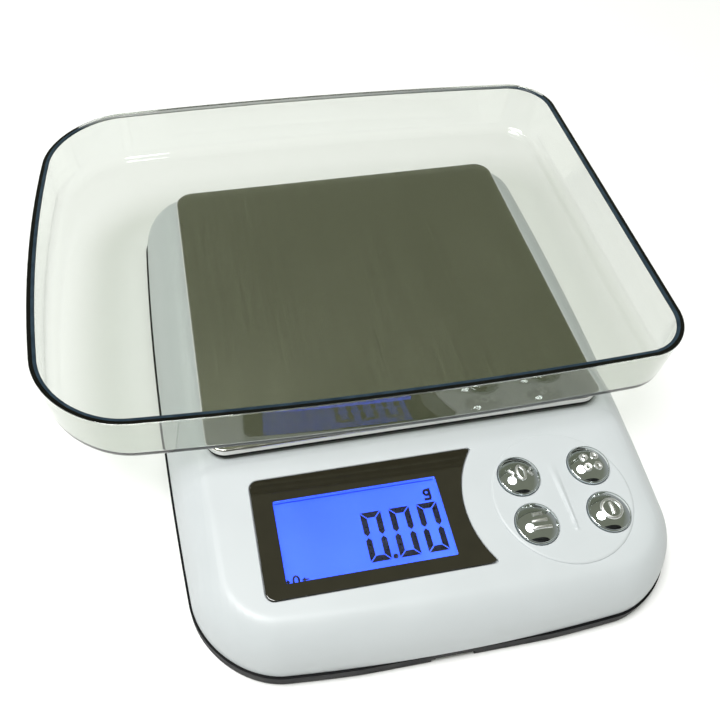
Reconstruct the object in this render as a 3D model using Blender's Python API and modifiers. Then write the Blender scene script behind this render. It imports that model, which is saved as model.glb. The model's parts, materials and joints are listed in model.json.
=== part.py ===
"""A digital gram scale: a clear weighing tray on a stainless platform, over a load cell in a two-part case.

Lengths are in millimetres and are turned into metres where a mesh is made.  X runs to the right along the
front edge, Y to the back and Z up.  The parts are placed about the platform's centre, with Z = 0 at the
underside of the feet, and one empty then moves the whole scale so that the middle of its bounding box is
over the origin.
"""

import math
from collections import namedtuple

import bmesh
import bpy

MM = 0.001
GAP = 0.3
MERGE_DISTANCE = 0.00001

# Case: outline of the parting line, and heights above the table
Outline = namedtuple(
    "Outline", "half_width front back front_radius back_radius side_bow front_bow widest_y"
)
CASE = Outline(73.2, -119.3, 72.0, 23.0, 18.0, 6.8, 4.3, 15.0)
UNDERSIDE_Z = 2.0
PARTING_Z = 5.0
DECK_Z = 25.4
SHOULDER_INSET = 13.0
CREASE_INSET = 10.4
PANEL_HINGE_Y = -60.0
PANEL_TILT = math.radians(2.0)
WALL = 2.2
DECK_THICKNESS = 2.4
FLOOR = 2.2

# Platform and tray
PLATFORM_WIDTH = 130.0
PLATFORM_DEPTH = 120.0
PLATFORM_RADIUS = 6.5
PLATFORM_TOP_Z = 30.4
SHEET = 0.8
SKIRT = 2.3
CARRIER_THICKNESS = 2.0
TRAY = Outline(72.2, -103.25 + 5.9, 103.25, 26.0, 16.0, 3.4, 5.9, 0.0)
TRAY_X = -11.55
TRAY_Y = 12.0
TRAY_HEIGHT = 22.0
TRAY_DRAFT = 3.8
TRAY_FILLET = 5.0
TRAY_WALL = 2.2

# Load cell, along X under the platform's centre
CELL_LENGTH = 80.0
CELL_SIDE = 12.7
CELL_BOTTOM_Z = 7.2
SPACER_LENGTH = 26.0
SPACER_X = 27.0
CELL_SCREW_SPREAD = 7.5
CELL_HOLE_RADIUS = 2.3
POST_SIZE = (24.0, 16.0)
POST_HOLE_SIZE = (28.6, 20.6)
POST_BOTTOM_Z = 24.2

# Control panel, in the panel's own frame: x to the right, y to the back from the panel's back edge
LENS_LEFT = -53.5
LENS_TOP = -8.8
LENS_BOTTOM = -46.0
LENS_RADIUS = 2.6
LENS_THICKNESS = 1.3
LENS_PROUD = 0.2
LENS_GAP_RADIUS = 30.7
PAD_CENTRE = (40.2, -29.3)
WINDOW_CENTRE = (-22.0, -29.2)
WINDOW_SIZE = (52.6, 27.3)
LCD_SIZE = (57.0, 31.0)
LCD_THICKNESS = 2.0
BACKLIGHT_SIZE = (57.0, 26.0)
CONNECTOR_SIZE = (50.0, 2.0)
LCD_TOP = -2.8
BUTTON_RADIUS = 6.5
BUTTON_HEIGHT = 1.1
BUTTON_DOME = 1.9
FLANGE_RADIUS = 7.7
FLANGE_THICKNESS = 0.9
PLUNGER_RADIUS = 1.5
SWITCH_SIDE = 6.0
BOARD_TOP = -9.0
BOARD_THICKNESS = 1.6
BOARD_X = (-56.0, 57.5)
BOARD_Y = (-47.5, -11.0)
BUTTONS = {
    "tare": (29.2, -21.1),
    "units": (29.2, -37.0),
    "count": (52.2, -21.1),
    "power": (52.2, -37.0),
}
BOARD_SCREWS = {"back": (14.0, -16.0), "front": (14.0, -42.0)}

# Batteries and their bay, behind the load cell
BATTERY_LENGTH = 43.5
BATTERY_RADIUS = 5.25
BATTERY_NUB = 1.0
BATTERY_Y = {"battery_front": 36.0, "battery_back": 48.6}
BATTERY_Z = 10.2
BAY_HALF_WIDTH = 27.5
BAY_Y = (29.0, 56.0)
BAY_TOP_Z = 16.2
BAY_WALL = 1.5
SPRING_WIRE = 0.25
SPRING_RADIUS = 3.6
SPRING_TURNS = 2.5
SPRING_POINTS = 30
DOOR_HALF_WIDTH = 24.0
DOOR_FLANGE = 2.0
DOOR_TOP_Z = 4.0

# Fasteners and feet
CASE_SCREWS = {
    "front_left": (-62.5, -89.0),
    "front_right": (62.5, -89.0),
    "back_left": (-66.0, 49.5),
    "back_right": (66.0, 49.5),
}
CASE_BOSS_RADIUS = 3.5
CASE_BORE_RADIUS = 1.75
CASE_SCREW_Z = 3.6
CASE_SCREW_LENGTH = 13.0
FEET = {
    "front_left": (-56.0, -104.0),
    "front_right": (56.0, -104.0),
    "back_left": (-58.0, 58.0),
    "back_right": (58.0, 58.0),
}
FOOT_RADIUS = 6.5
FOOT_HEIGHT = 2.5
FOOT_POCKET = 0.8
ARCH_HALF_WIDTH = 6.6
ARCH_HEIGHT = 1.7
ARCH_DEPTH = 9.0

CORNER_STEPS = 7
SIDE_STEPS = 6
SHOULDER_STEPS = 6
BODY_SHIFT_X = -TRAY_X
BODY_SHIFT_Y = (-(CASE.front - CASE.front_bow) - (TRAY_Y + TRAY.half_width + TRAY.side_bow)) / 2

# name: (colour, roughness, metallic)
FINISHES = {
    "clear_tray": ((0.80, 0.86, 0.84), 0.05, 0.0),
    "brushed_steel": ((0.42, 0.41, 0.36), 0.32, 1.0),
    "black_plastic": ((0.02, 0.02, 0.02), 0.45, 0.0),
    "white_plastic": ((0.82, 0.84, 0.86), 0.18, 0.0),
    "smoked_lens": ((0.045, 0.040, 0.025), 0.06, 0.0),
    "lcd_glass": ((0.10, 0.20, 0.85), 0.10, 0.0),
    "backlight": ((0.85, 0.90, 1.00), 0.40, 0.0),
    "chrome": ((0.75, 0.75, 0.76), 0.08, 1.0),
    "aluminium": ((0.72, 0.73, 0.75), 0.35, 1.0),
    "zinc_screw": ((0.60, 0.60, 0.62), 0.30, 1.0),
    "circuit_board": ((0.02, 0.20, 0.08), 0.40, 0.0),
    "rubber": ((0.04, 0.04, 0.04), 0.80, 0.0),
    "sealant": ((0.85, 0.85, 0.82), 0.50, 0.0),
    "battery_sleeve": ((0.05, 0.16, 0.10), 0.30, 0.0),
    "contact_metal": ((0.70, 0.68, 0.62), 0.25, 1.0),
    "lead_sleeve": ((0.55, 0.04, 0.03), 0.50, 0.0),
}


def clear_scene():
    for obj in list(bpy.data.objects):
        bpy.data.objects.remove(obj)


def new_collection(name):
    collection = bpy.data.collections.new(name)
    bpy.context.scene.collection.children.link(collection)
    return collection


def new_frame(name, location, parent=None, tilt=0.0):
    """An empty that carries the parts of one region."""
    frame = bpy.data.objects.new(name, None)
    frame.location = [value * MM for value in location]
    frame.rotation_euler = (tilt, 0.0, 0.0)
    frame.parent = parent
    PARTS.objects.link(frame)
    return frame


def make_materials():
    made = {}
    for name, (colour, roughness, metallic) in FINISHES.items():
        material = bpy.data.materials.new(name)
        material.use_nodes = True
        shader = material.node_tree.nodes["Principled BSDF"]
        shader.inputs["Base Color"].default_value = (*colour, 1.0)
        shader.inputs["Roughness"].default_value = roughness
        shader.inputs["Metallic"].default_value = metallic
        made[name] = material
    return made


# ---------------------------------------------------------------- outlines, in millimetres


def arc(centre, radius, start, end, steps):
    """Points along an arc, its angles in degrees."""
    points = []
    for step in range(steps + 1):
        angle = math.radians(start + (end - start) * step / steps)
        points.append((centre[0] + radius * math.cos(angle), centre[1] + radius * math.sin(angle)))
    return points


def rounded_rectangle(width, depth, radius, steps=CORNER_STEPS, centre=(0.0, 0.0)):
    points = []
    reach_x = width / 2 - radius
    reach_y = depth / 2 - radius
    for side_x, side_y, start in ((1, -1, -90), (1, 1, 0), (-1, 1, 90), (-1, -1, 180)):
        corner = (centre[0] + side_x * reach_x, centre[1] + side_y * reach_y)
        points.extend(arc(corner, radius, start, start + 90, steps))
    return points


def bowed_outline(shape, inset=0.0):
    """A rounded rectangle whose sides and front bulge, moved inwards by inset."""
    half_width = shape.half_width - inset
    front = shape.front + inset
    back = shape.back - inset
    front_radius = max(shape.front_radius - inset, 2.0)
    back_radius = max(shape.back_radius - inset, 2.0)
    corners = (
        arc((half_width - front_radius, front + front_radius), front_radius, -90, 0, CORNER_STEPS),
        arc((half_width - back_radius, back - back_radius), back_radius, 0, 90, CORNER_STEPS),
        arc((-half_width + back_radius, back - back_radius), back_radius, 90, 180, CORNER_STEPS),
        arc((-half_width + front_radius, front + front_radius), front_radius, 180, 270, CORNER_STEPS),
    )
    points = []
    for index, corner in enumerate(corners):
        points.extend(corner)
        start = corner[-1]
        end = corners[(index + 1) % 4][0]
        for step in range(1, SIDE_STEPS):
            share = step / SIDE_STEPS
            points.append((start[0] + (end[0] - start[0]) * share, start[1] + (end[1] - start[1]) * share))
    return [bowed_point(shape, x, y) for x, y in points]


def bowed_point(shape, x, y):
    across = x / shape.half_width
    along = (y - shape.widest_y) / (shape.widest_y - shape.front)
    middle_y = (shape.front + shape.back) / 2
    frontness = max(0.0, (middle_y - y) / (middle_y - shape.front))
    return (
        x + across * shape.side_bow * (1.0 - along**2),
        y - frontness * shape.front_bow * (1.0 - across**2),
    )


def lens_outline(grow=0.0):
    """The display lens: a rectangle whose right end is scooped out around the round button pad."""
    left = LENS_LEFT - grow
    top = LENS_TOP + grow
    bottom = LENS_BOTTOM - grow
    scoop = LENS_GAP_RADIUS - grow
    top_angle = math.degrees(math.asin((top - 1.0 - PAD_CENTRE[1]) / scoop))
    bottom_angle = math.degrees(math.asin((bottom + 1.0 - PAD_CENTRE[1]) / scoop))
    points = arc(PAD_CENTRE, scoop, 180.0 - bottom_angle, 180.0 - top_angle, 14)
    points.append((points[-1][0] - 0.3, top))
    points.extend(arc((left + LENS_RADIUS, top - LENS_RADIUS), LENS_RADIUS, 90, 180, 5))
    points.extend(arc((left + LENS_RADIUS, bottom + LENS_RADIUS), LENS_RADIUS, 180, 270, 5))
    points.append((points[0][0] - 1.6, bottom))
    return points


def deck_height(y):
    """The case's top surface: level under the platform, falling to the front on the panel."""
    return DECK_Z - max(0.0, PANEL_HINGE_Y - y) * math.tan(PANEL_TILT)


# ---------------------------------------------------------------- making solids


def add_mesh(name, mesh, finish, parent, location=(0.0, 0.0, 0.0), rotation=(0.0, 0.0, 0.0)):
    """An object of this mesh; a piece with no finish is a cutter."""
    obj = bpy.data.objects.new(name, mesh)
    obj.location = [value * MM for value in location]
    obj.rotation_euler = rotation
    obj.parent = parent
    if finish is None:
        obj.hide_render = True
        obj.display_type = "WIRE"
        CUTTERS.objects.link(obj)
    else:
        mesh.materials.append(MATERIALS[finish])
        PARTS.objects.link(obj)
    return obj


def finish_mesh(name, bm):
    mesh = bpy.data.meshes.new(name)
    bmesh.ops.recalc_face_normals(bm, faces=bm.faces)
    bm.to_mesh(mesh)
    bm.free()
    return mesh


def block(name, finish, parent, x, y, z):
    """A box between two limits on each axis."""
    bm = bmesh.new()
    bmesh.ops.create_cube(bm, size=1.0)
    size = [(high - low) * MM for low, high in (x, y, z)]
    bmesh.ops.scale(bm, vec=size, verts=bm.verts)
    middle = [(low + high) / 2 for low, high in (x, y, z)]
    return add_mesh(name, finish_mesh(name, bm), finish, parent, middle)


def centred_block(name, finish, parent, centre, size, z):
    """A box about a centre, between two heights."""
    x = (centre[0] - size[0] / 2, centre[0] + size[0] / 2)
    y = (centre[1] - size[1] / 2, centre[1] + size[1] / 2)
    return block(name, finish, parent, x, y, z)


def rod(name, finish, parent, centre, radius, z, steps=20):
    """An upright cylinder between two heights."""
    bm = bmesh.new()
    bmesh.ops.create_cone(
        bm,
        cap_ends=True,
        segments=steps,
        radius1=radius * MM,
        radius2=radius * MM,
        depth=(z[1] - z[0]) * MM,
    )
    mesh = finish_mesh(name, bm)
    mesh.shade_smooth()
    mesh.set_sharp_from_angle(angle=math.radians(40))
    return add_mesh(name, mesh, finish, parent, (*centre, (z[0] + z[1]) / 2))


def slab(name, finish, parent, outline, z, location=(0.0, 0.0, 0.0), rotation=(0.0, 0.0, 0.0)):
    """A flat outline extruded between two heights, as a closed mesh."""
    curve = bpy.data.curves.new(name + "_outline", "CURVE")
    curve.dimensions = "2D"
    curve.fill_mode = "BOTH"
    curve.extrude = (z[1] - z[0]) / 2 * MM
    spline = curve.splines.new("POLY")
    spline.points.add(len(outline) - 1)
    for point, (x, y) in zip(spline.points, outline):
        point.co = (x * MM, y * MM, 0.0, 1.0)
    spline.use_cyclic_u = True
    drawn = bpy.data.objects.new(name + "_outline", curve)
    CUTTERS.objects.link(drawn)
    evaluated = drawn.evaluated_get(bpy.context.evaluated_depsgraph_get())
    mesh = bpy.data.meshes.new_from_object(evaluated)
    mesh.name = name
    bpy.data.objects.remove(drawn)
    bm = bmesh.new()
    bm.from_mesh(mesh)
    bmesh.ops.remove_doubles(bm, verts=bm.verts, dist=MERGE_DISTANCE)
    bmesh.ops.dissolve_limit(bm, angle_limit=math.radians(0.5), verts=bm.verts, edges=bm.edges)
    bmesh.ops.recalc_face_normals(bm, faces=bm.faces)
    bm.to_mesh(mesh)
    bm.free()
    middle = (z[0] + z[1]) / 2
    return add_mesh(name, mesh, finish, parent, (location[0], location[1], location[2] + middle), rotation)


def turned(name, finish, parent, profile, location, steps=20, rotation=(0.0, 0.0, 0.0)):
    """A solid of revolution; its profile runs from the top on the axis, down the outside, to the axis."""
    bm = bmesh.new()
    made = [bm.verts.new((radius * MM, 0.0, z * MM)) for radius, z in profile]
    for first, second in zip(made, made[1:]):
        bm.edges.new((first, second))
    mesh = bpy.data.meshes.new(name)
    bm.to_mesh(mesh)
    bm.free()
    obj = add_mesh(name, mesh, finish, parent, location, rotation)
    screw = obj.modifiers.new("Turn", "SCREW")
    screw.axis = "Z"
    screw.steps = steps
    screw.render_steps = steps
    screw.use_merge_vertices = True
    screw.merge_threshold = MERGE_DISTANCE
    screw.use_smooth_shade = True
    return obj


def tube(name, finish, parent, route, radius, sides=2):
    """A round wire along a route; sides is the curve's bevel resolution."""
    curve = bpy.data.curves.new(name, "CURVE")
    curve.dimensions = "3D"
    curve.bevel_depth = radius * MM
    curve.bevel_resolution = sides
    curve.use_fill_caps = True
    spline = curve.splines.new("POLY")
    spline.points.add(len(route) - 1)
    for point, place in zip(spline.points, route):
        point.co = (place[0] * MM, place[1] * MM, place[2] * MM, 1.0)
    obj = bpy.data.objects.new(name, curve)
    obj.parent = parent
    curve.materials.append(MATERIALS[finish])
    PARTS.objects.link(obj)


def smooth_route(points, steps=5):
    """A Catmull-Rom curve through the points."""
    padded = [points[0], *points, points[-1]]
    route = []
    for index in range(1, len(padded) - 2):
        before, start, end, after = padded[index - 1 : index + 3]
        for step in range(steps):
            t = step / steps
            point = []
            for a, b, c, d in zip(before, start, end, after):
                square = 2 * a - 5 * b + 4 * c - d
                cube = 3 * b - a - 3 * c + d
                point.append((2 * b + (c - a) * t + square * t**2 + cube * t**3) / 2)
            route.append(tuple(point))
    route.append(points[-1])
    return route


def loft(rings):
    """A closed solid through rings of equally many points, from the bottom ring to the last."""
    bm = bmesh.new()
    levels = [[bm.verts.new([value * MM for value in point]) for point in ring] for ring in rings]
    for lower, upper in zip(levels, levels[1:]):
        for index in range(len(lower)):
            after = (index + 1) % len(lower)
            bm.faces.new((lower[index], lower[after], upper[after], upper[index]))
    bm.faces.new(list(reversed(levels[0])))
    bm.faces.new(levels[-1])
    return bm


def boolean(target, other, operation="DIFFERENCE"):
    modifier = target.modifiers.new(operation.title(), "BOOLEAN")
    modifier.operation = operation
    modifier.solver = "EXACT"
    modifier.object = other


def cut(target, *cutters):
    for cutter in cutters:
        boolean(target, cutter)


def join(target, *pieces):
    for piece in pieces:
        boolean(target, piece, "UNION")


# ---------------------------------------------------------------- the case


def case_block(name, finish, inset, drop, bottom_z):
    """The case's domed outer form, or, with an inset and a drop, the hollow inside it."""
    last_angle = math.acos(1.0 - CREASE_INSET / SHOULDER_INSET)
    edge_z = PARTING_Z + GAP / 2
    height = (DECK_Z - edge_z) / math.sin(last_angle)
    levels = [(0.0, bottom_z)]
    for step in range(SHOULDER_STEPS + 1):
        share = step / SHOULDER_STEPS
        angle = last_angle * share
        level_z = edge_z + height * math.sin(angle) - drop * share
        levels.append((SHOULDER_INSET * (1.0 - math.cos(angle)), level_z))
    if bottom_z >= levels[1][1]:
        levels.pop(0)
    rings = [[(*point, z) for point in bowed_outline(CASE, inset + extra)] for extra, z in levels]
    bm = loft(rings)
    top_z = levels[-1][1]
    bmesh.ops.bisect_plane(
        bm,
        geom=[*bm.verts, *bm.edges, *bm.faces],
        plane_co=(0.0, PANEL_HINGE_Y * MM, 0.0),
        plane_no=(0.0, 1.0, 0.0),
    )
    for vert in bm.verts:
        fall = DECK_Z - deck_height(vert.co.y / MM)
        share = max(0.0, (vert.co.z / MM - PARTING_Z) / (top_z - PARTING_Z))
        vert.co.z -= fall * share * MM
    return add_mesh(name, finish_mesh(name, bm), finish, SCALE)


def screw_profile(head_radius, head_height, shank_radius, length):
    """A pan-head screw, head down, its head's underside at z = 0."""
    return (
        (0.0, length),
        (shank_radius * 0.5, length),
        (shank_radius, length - shank_radius),
        (shank_radius, 0.0),
        (head_radius, 0.0),
        (head_radius, -head_height * 0.6),
        (head_radius * 0.7, -head_height),
        (0.0, -head_height),
    )


def make_top_housing():
    housing = case_block("top_housing", "white_plastic", 0.0, 0.0, PARTING_Z + GAP / 2)
    cut(housing, case_block("case_hollow", None, WALL, DECK_THICKNESS, PARTING_Z - 1.0))
    for name, place in CASE_SCREWS.items():
        boss_z = (PARTING_Z + 0.4, deck_height(place[1]) - DECK_THICKNESS / 2)
        join(housing, rod("case_boss_" + name, None, SCALE, place, CASE_BOSS_RADIUS, boss_z, 16))
    for name, place in BOARD_SCREWS.items():
        join(housing, rod("board_boss_" + name, None, PANEL, place, 2.8, (BOARD_TOP + GAP, -1.9), 14))
    recess = slab("lens_recess", None, PANEL, lens_outline(GAP), (LENS_PROUD - LENS_THICKNESS - GAP, 5.0))
    window = centred_block("lens_window", None, PANEL, WINDOW_CENTRE, WINDOW_SIZE, (-4.0, 1.0))
    hole_z = (DECK_Z - 5.0, DECK_Z + 1.0)
    post_hole = centred_block("post_hole", None, SCALE, (SPACER_X, 0.0), POST_HOLE_SIZE, hole_z)
    cut(housing, recess, window, post_hole)
    for name, place in BUTTONS.items():
        cut(housing, rod("button_hole_" + name, None, PANEL, place, BUTTON_RADIUS + GAP, (-5.0, 5.0), 32))
    for name, place in CASE_SCREWS.items():
        bore_z = (PARTING_Z - 1.0, CASE_SCREW_Z + CASE_SCREW_LENGTH + 1.9)
        cut(housing, rod("case_bore_" + name, None, SCALE, place, CASE_BORE_RADIUS, bore_z, 12))
    for name, place in BOARD_SCREWS.items():
        cut(housing, rod("board_bore_" + name, None, PANEL, place, 1.3, (BOARD_TOP - 1.0, -3.0), 12))


def make_bottom_housing():
    top_z = PARTING_Z - GAP / 2
    floor_z = UNDERSIDE_Z + FLOOR
    housing = slab("bottom_housing", "black_plastic", SCALE, bowed_outline(CASE), (UNDERSIDE_Z, top_z))
    rib = slab("locating_rib", None, SCALE, bowed_outline(CASE, 2.9), (3.0, 7.6))
    join(housing, rib)
    cut(housing, slab("floor_hollow", None, SCALE, bowed_outline(CASE, 4.4), (floor_z, 12.0)))
    for name, place in CASE_SCREWS.items():
        join(housing, rod("screw_seat_" + name, None, SCALE, place, 5.0, (3.0, PARTING_Z + 0.1), 16))
    outer = BAY_HALF_WIDTH + BAY_WALL
    bay = block(
        "bay_walls",
        None,
        SCALE,
        (-outer, outer),
        (BAY_Y[0] - BAY_WALL, BAY_Y[1] + BAY_WALL),
        (3.0, BAY_TOP_Z + BAY_WALL),
    )
    roof = block("door_roof", None, SCALE, (-outer, outer), (BAY_Y[1], 69.0), (3.5, 6.2))
    join(housing, bay, roof)
    hollow = block("bay_hollow", None, SCALE, (-BAY_HALF_WIDTH, BAY_HALF_WIDTH), BAY_Y, (3.6, BAY_TOP_Z))
    slot_top = DOOR_TOP_Z + GAP
    slot_half = DOOR_HALF_WIDTH + GAP
    slot = block("door_slot", None, SCALE, (-slot_half, slot_half), (BAY_Y[0], 80.0), (1.0, slot_top))
    groove_half = slot_half + DOOR_FLANGE
    groove = block("door_groove", None, SCALE, (-groove_half, groove_half), (BAY_Y[0], 80.0), (2.7, slot_top))
    arch = block(
        "front_arch",
        None,
        SCALE,
        (-ARCH_HALF_WIDTH, ARCH_HALF_WIDTH),
        (-130.0, CASE.front - CASE.front_bow + ARCH_DEPTH),
        (0.0, UNDERSIDE_Z + ARCH_HEIGHT),
    )
    cut(housing, hollow, slot, groove, arch)
    for name, place in FEET.items():
        pocket = (UNDERSIDE_Z - 1.0, UNDERSIDE_Z + FOOT_POCKET)
        cut(housing, rod("foot_pocket_" + name, None, SCALE, place, FOOT_RADIUS + GAP, pocket, 28))
    for name, place in CASE_SCREWS.items():
        cut(housing, rod("head_bore_" + name, None, SCALE, place, 3.2, (1.0, CASE_SCREW_Z + GAP), 16))
        cut(housing, rod("shank_bore_" + name, None, SCALE, place, CASE_BORE_RADIUS, (3.0, 6.0), 12))
    for side in (-1, 1):
        place = (-SPACER_X + side * CELL_SCREW_SPREAD, 0.0)
        cut(housing, rod("cell_head_bore_%d" % side, None, SCALE, place, 3.9, (1.0, 3.2), 16))
        cut(housing, rod("cell_shank_bore_%d" % side, None, SCALE, place, CELL_HOLE_RADIUS, (2.0, 6.0), 12))
    cut(housing, rod("stop_bore", None, SCALE, (SPACER_X + 8.0, 0.0), 1.8, (1.0, 6.0), 12))


def make_case_screws():
    profile = screw_profile(2.9, 1.3, 1.4, CASE_SCREW_LENGTH)
    for name, place in CASE_SCREWS.items():
        turned("case_screw_" + name, "zinc_screw", SCALE, profile, (*place, CASE_SCREW_Z), 14)


def make_feet():
    profile = (
        (0.0, FOOT_HEIGHT),
        (FOOT_RADIUS, FOOT_HEIGHT),
        (FOOT_RADIUS, 0.7),
        (FOOT_RADIUS - 0.5, 0.1),
        (FOOT_RADIUS - 1.0, 0.0),
        (0.0, 0.0),
    )
    for name, place in FEET.items():
        turned("foot_" + name, "rubber", SCALE, profile, (*place, 0.0), 24)


# ---------------------------------------------------------------- weighing


def make_platform():
    outline = rounded_rectangle(PLATFORM_WIDTH, PLATFORM_DEPTH, PLATFORM_RADIUS)
    plate = slab("platform_plate", "brushed_steel", SCALE, outline, (PLATFORM_TOP_Z - SKIRT, PLATFORM_TOP_Z))
    inner = rounded_rectangle(
        PLATFORM_WIDTH - 2 * SHEET, PLATFORM_DEPTH - 2 * SHEET, PLATFORM_RADIUS - SHEET
    )
    plate_under = PLATFORM_TOP_Z - SHEET
    cut(plate, slab("plate_hollow", None, SCALE, inner, (PLATFORM_TOP_Z - SKIRT - 1.0, plate_under)))

    clearance = 2 * (SHEET + GAP)
    width = PLATFORM_WIDTH - clearance
    depth = PLATFORM_DEPTH - clearance
    top_z = plate_under - GAP
    board = rounded_rectangle(width, depth, PLATFORM_RADIUS - SHEET - GAP)
    carrier = slab("platform_carrier", "black_plastic", SCALE, board, (top_z - CARRIER_THICKNESS, top_z))
    post_z = (POST_BOTTOM_Z, top_z - 1.0)
    join(carrier, centred_block("carrier_post", None, SCALE, (SPACER_X, 0.0), POST_SIZE, post_z))
    for side in (-1, 1):
        place = (SPACER_X + side * CELL_SCREW_SPREAD, 0.0)
        cut(carrier, rod("carrier_head_%d" % side, None, SCALE, place, 3.9, (27.0, 31.0), 16))
        cut(carrier, rod("carrier_shank_%d" % side, None, SCALE, place, CELL_HOLE_RADIUS, (23.0, 28.0), 12))
        name = "carrier_screw_left" if side < 0 else "carrier_screw_right"
        turned(
            name,
            "zinc_screw",
            SCALE,
            screw_profile(3.5, 1.7, 2.0, 11.5),
            (*place, 27.3),
            14,
            (math.pi, 0.0, 0.0),
        )


def make_tray():
    """A clear moulded dish, open at the top, standing on the platform."""
    rim = TRAY_HEIGHT
    draft = TRAY_DRAFT
    fillet = TRAY_FILLET
    levels = []
    for step in range(5):
        angle = math.radians(90.0 * step / 4)
        levels.append((draft + fillet * (1.0 - math.sin(angle)), GAP + fillet * (1.0 - math.cos(angle))))
    levels.extend([(draft * 0.45, rim * 0.62), (0.0, rim - 0.6), (0.3, rim)])
    inner_fillet = fillet - TRAY_WALL
    levels.append((TRAY_WALL, rim))
    levels.append((draft * 0.45 + TRAY_WALL, rim * 0.62))
    for step in range(5):
        angle = math.radians(90.0 * step / 4)
        inset = draft + TRAY_WALL + inner_fillet * (1.0 - math.cos(angle))
        levels.append((inset, GAP + TRAY_WALL + inner_fillet * (1.0 - math.sin(angle))))
    rings = [[(*point, z) for point in bowed_outline(TRAY, inset)] for inset, z in levels]
    mesh = finish_mesh("tray", loft(rings))
    mesh.shade_smooth()
    mesh.set_sharp_from_angle(angle=math.radians(40))
    quarter_turn = (0.0, 0.0, -math.pi / 2)
    add_mesh("tray", mesh, "clear_tray", SCALE, (TRAY_X, TRAY_Y, PLATFORM_TOP_Z), quarter_turn)


def make_load_cell():
    half = CELL_LENGTH / 2
    side = CELL_SIDE / 2
    top_z = CELL_BOTTOM_Z + CELL_SIDE
    middle_z = CELL_BOTTOM_Z + side
    cell = block("load_cell", "aluminium", SCALE, (-half, half), (-side, side), (CELL_BOTTOM_Z, top_z))
    eyes = [
        *arc((7.5, 0.0), 4.6, -150, 150, 10),
        *arc((-7.5, 0.0), 4.6, 30, 330, 10),
    ]
    quarter_turn = (math.pi / 2, 0.0, 0.0)
    eye_cutter = slab("cell_eyes", None, SCALE, eyes, (-10.0, 10.0), (0.0, 0.0, middle_z), quarter_turn)
    cut(cell, eye_cutter)
    for side_x in (-1, 1):
        for side_hole in (-1, 1):
            place = (side_x * SPACER_X + side_hole * CELL_SCREW_SPREAD, 0.0)
            cutter_name = "cell_hole_%d_%d" % (side_x, side_hole)
            cut(cell, rod(cutter_name, None, SCALE, place, CELL_HOLE_RADIUS, (5.0, 22.0), 12))
    block("strain_gauge_cover", "sealant", SCALE, (-12.0, 12.0), (-5.0, 5.0), (top_z + GAP, top_z + 1.8))


def make_cell_mountings():
    half = SPACER_LENGTH / 2
    side = CELL_SIDE / 2
    cell_top = CELL_BOTTOM_Z + CELL_SIDE
    heights = {
        "load_cell_base_spacer": (-SPACER_X, UNDERSIDE_Z + FLOOR + GAP, CELL_BOTTOM_Z - GAP),
        "load_cell_top_spacer": (SPACER_X, cell_top + GAP, POST_BOTTOM_Z - GAP),
    }
    for name, (centre, low, high) in heights.items():
        spacer = block(name, "aluminium", SCALE, (centre - half, centre + half), (-side, side), (low, high))
        for side_hole in (-1, 1):
            place = (centre + side_hole * CELL_SCREW_SPREAD, 0.0)
            cutter_name = "%s_hole_%d" % (name, side_hole)
            cut(spacer, rod(cutter_name, None, SCALE, place, CELL_HOLE_RADIUS, (0.0, 30.0), 12))
    for side_hole, name in ((-1, "cell_screw_left"), (1, "cell_screw_right")):
        place = (-SPACER_X + side_hole * CELL_SCREW_SPREAD, 0.0, 2.9)
        turned(name, "zinc_screw", SCALE, screw_profile(3.5, 0.8, 2.0, 12.0), place, 14)
    stop = (SPACER_X + 8.0, 0.0, 2.3)
    turned("overload_stop", "zinc_screw", SCALE, ((0.0, 4.0), (1.5, 4.0), (1.5, 0.0), (0.0, 0.0)), stop, 14)


# ---------------------------------------------------------------- control panel


def make_display():
    slab("display_lens", "smoked_lens", PANEL, lens_outline(), (LENS_PROUD - LENS_THICKNESS, LENS_PROUD))
    glass_z = (LCD_TOP - LCD_THICKNESS, LCD_TOP)
    centred_block("lcd_panel", "lcd_glass", PANEL, WINDOW_CENTRE, LCD_SIZE, glass_z)
    under_glass = glass_z[0] - GAP
    light_centre = (WINDOW_CENTRE[0], WINDOW_CENTRE[1] + (LCD_SIZE[1] - BACKLIGHT_SIZE[1]) / 2)
    light_z = (under_glass - 2.6, under_glass)
    centred_block("lcd_backlight", "backlight", PANEL, light_centre, BACKLIGHT_SIZE, light_z)
    strip_centre = (WINDOW_CENTRE[0], WINDOW_CENTRE[1] - LCD_SIZE[1] / 2 + 2.0)
    strip_z = (BOARD_TOP + GAP, under_glass)
    centred_block("lcd_connector", "rubber", PANEL, strip_centre, CONNECTOR_SIZE, strip_z)


def make_board():
    under = BOARD_TOP - BOARD_THICKNESS
    board = block("main_board", "circuit_board", PANEL, BOARD_X, BOARD_Y, (under, BOARD_TOP))
    for name, place in BOARD_SCREWS.items():
        cut(board, rod("board_hole_" + name, None, PANEL, place, 1.4, (under - 1.0, BOARD_TOP + 1.0), 12))
        profile = screw_profile(2.4, 1.2, 1.0, 6.0)
        turned("board_screw_" + name, "zinc_screw", PANEL, profile, (*place, under - GAP), 12)


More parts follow.
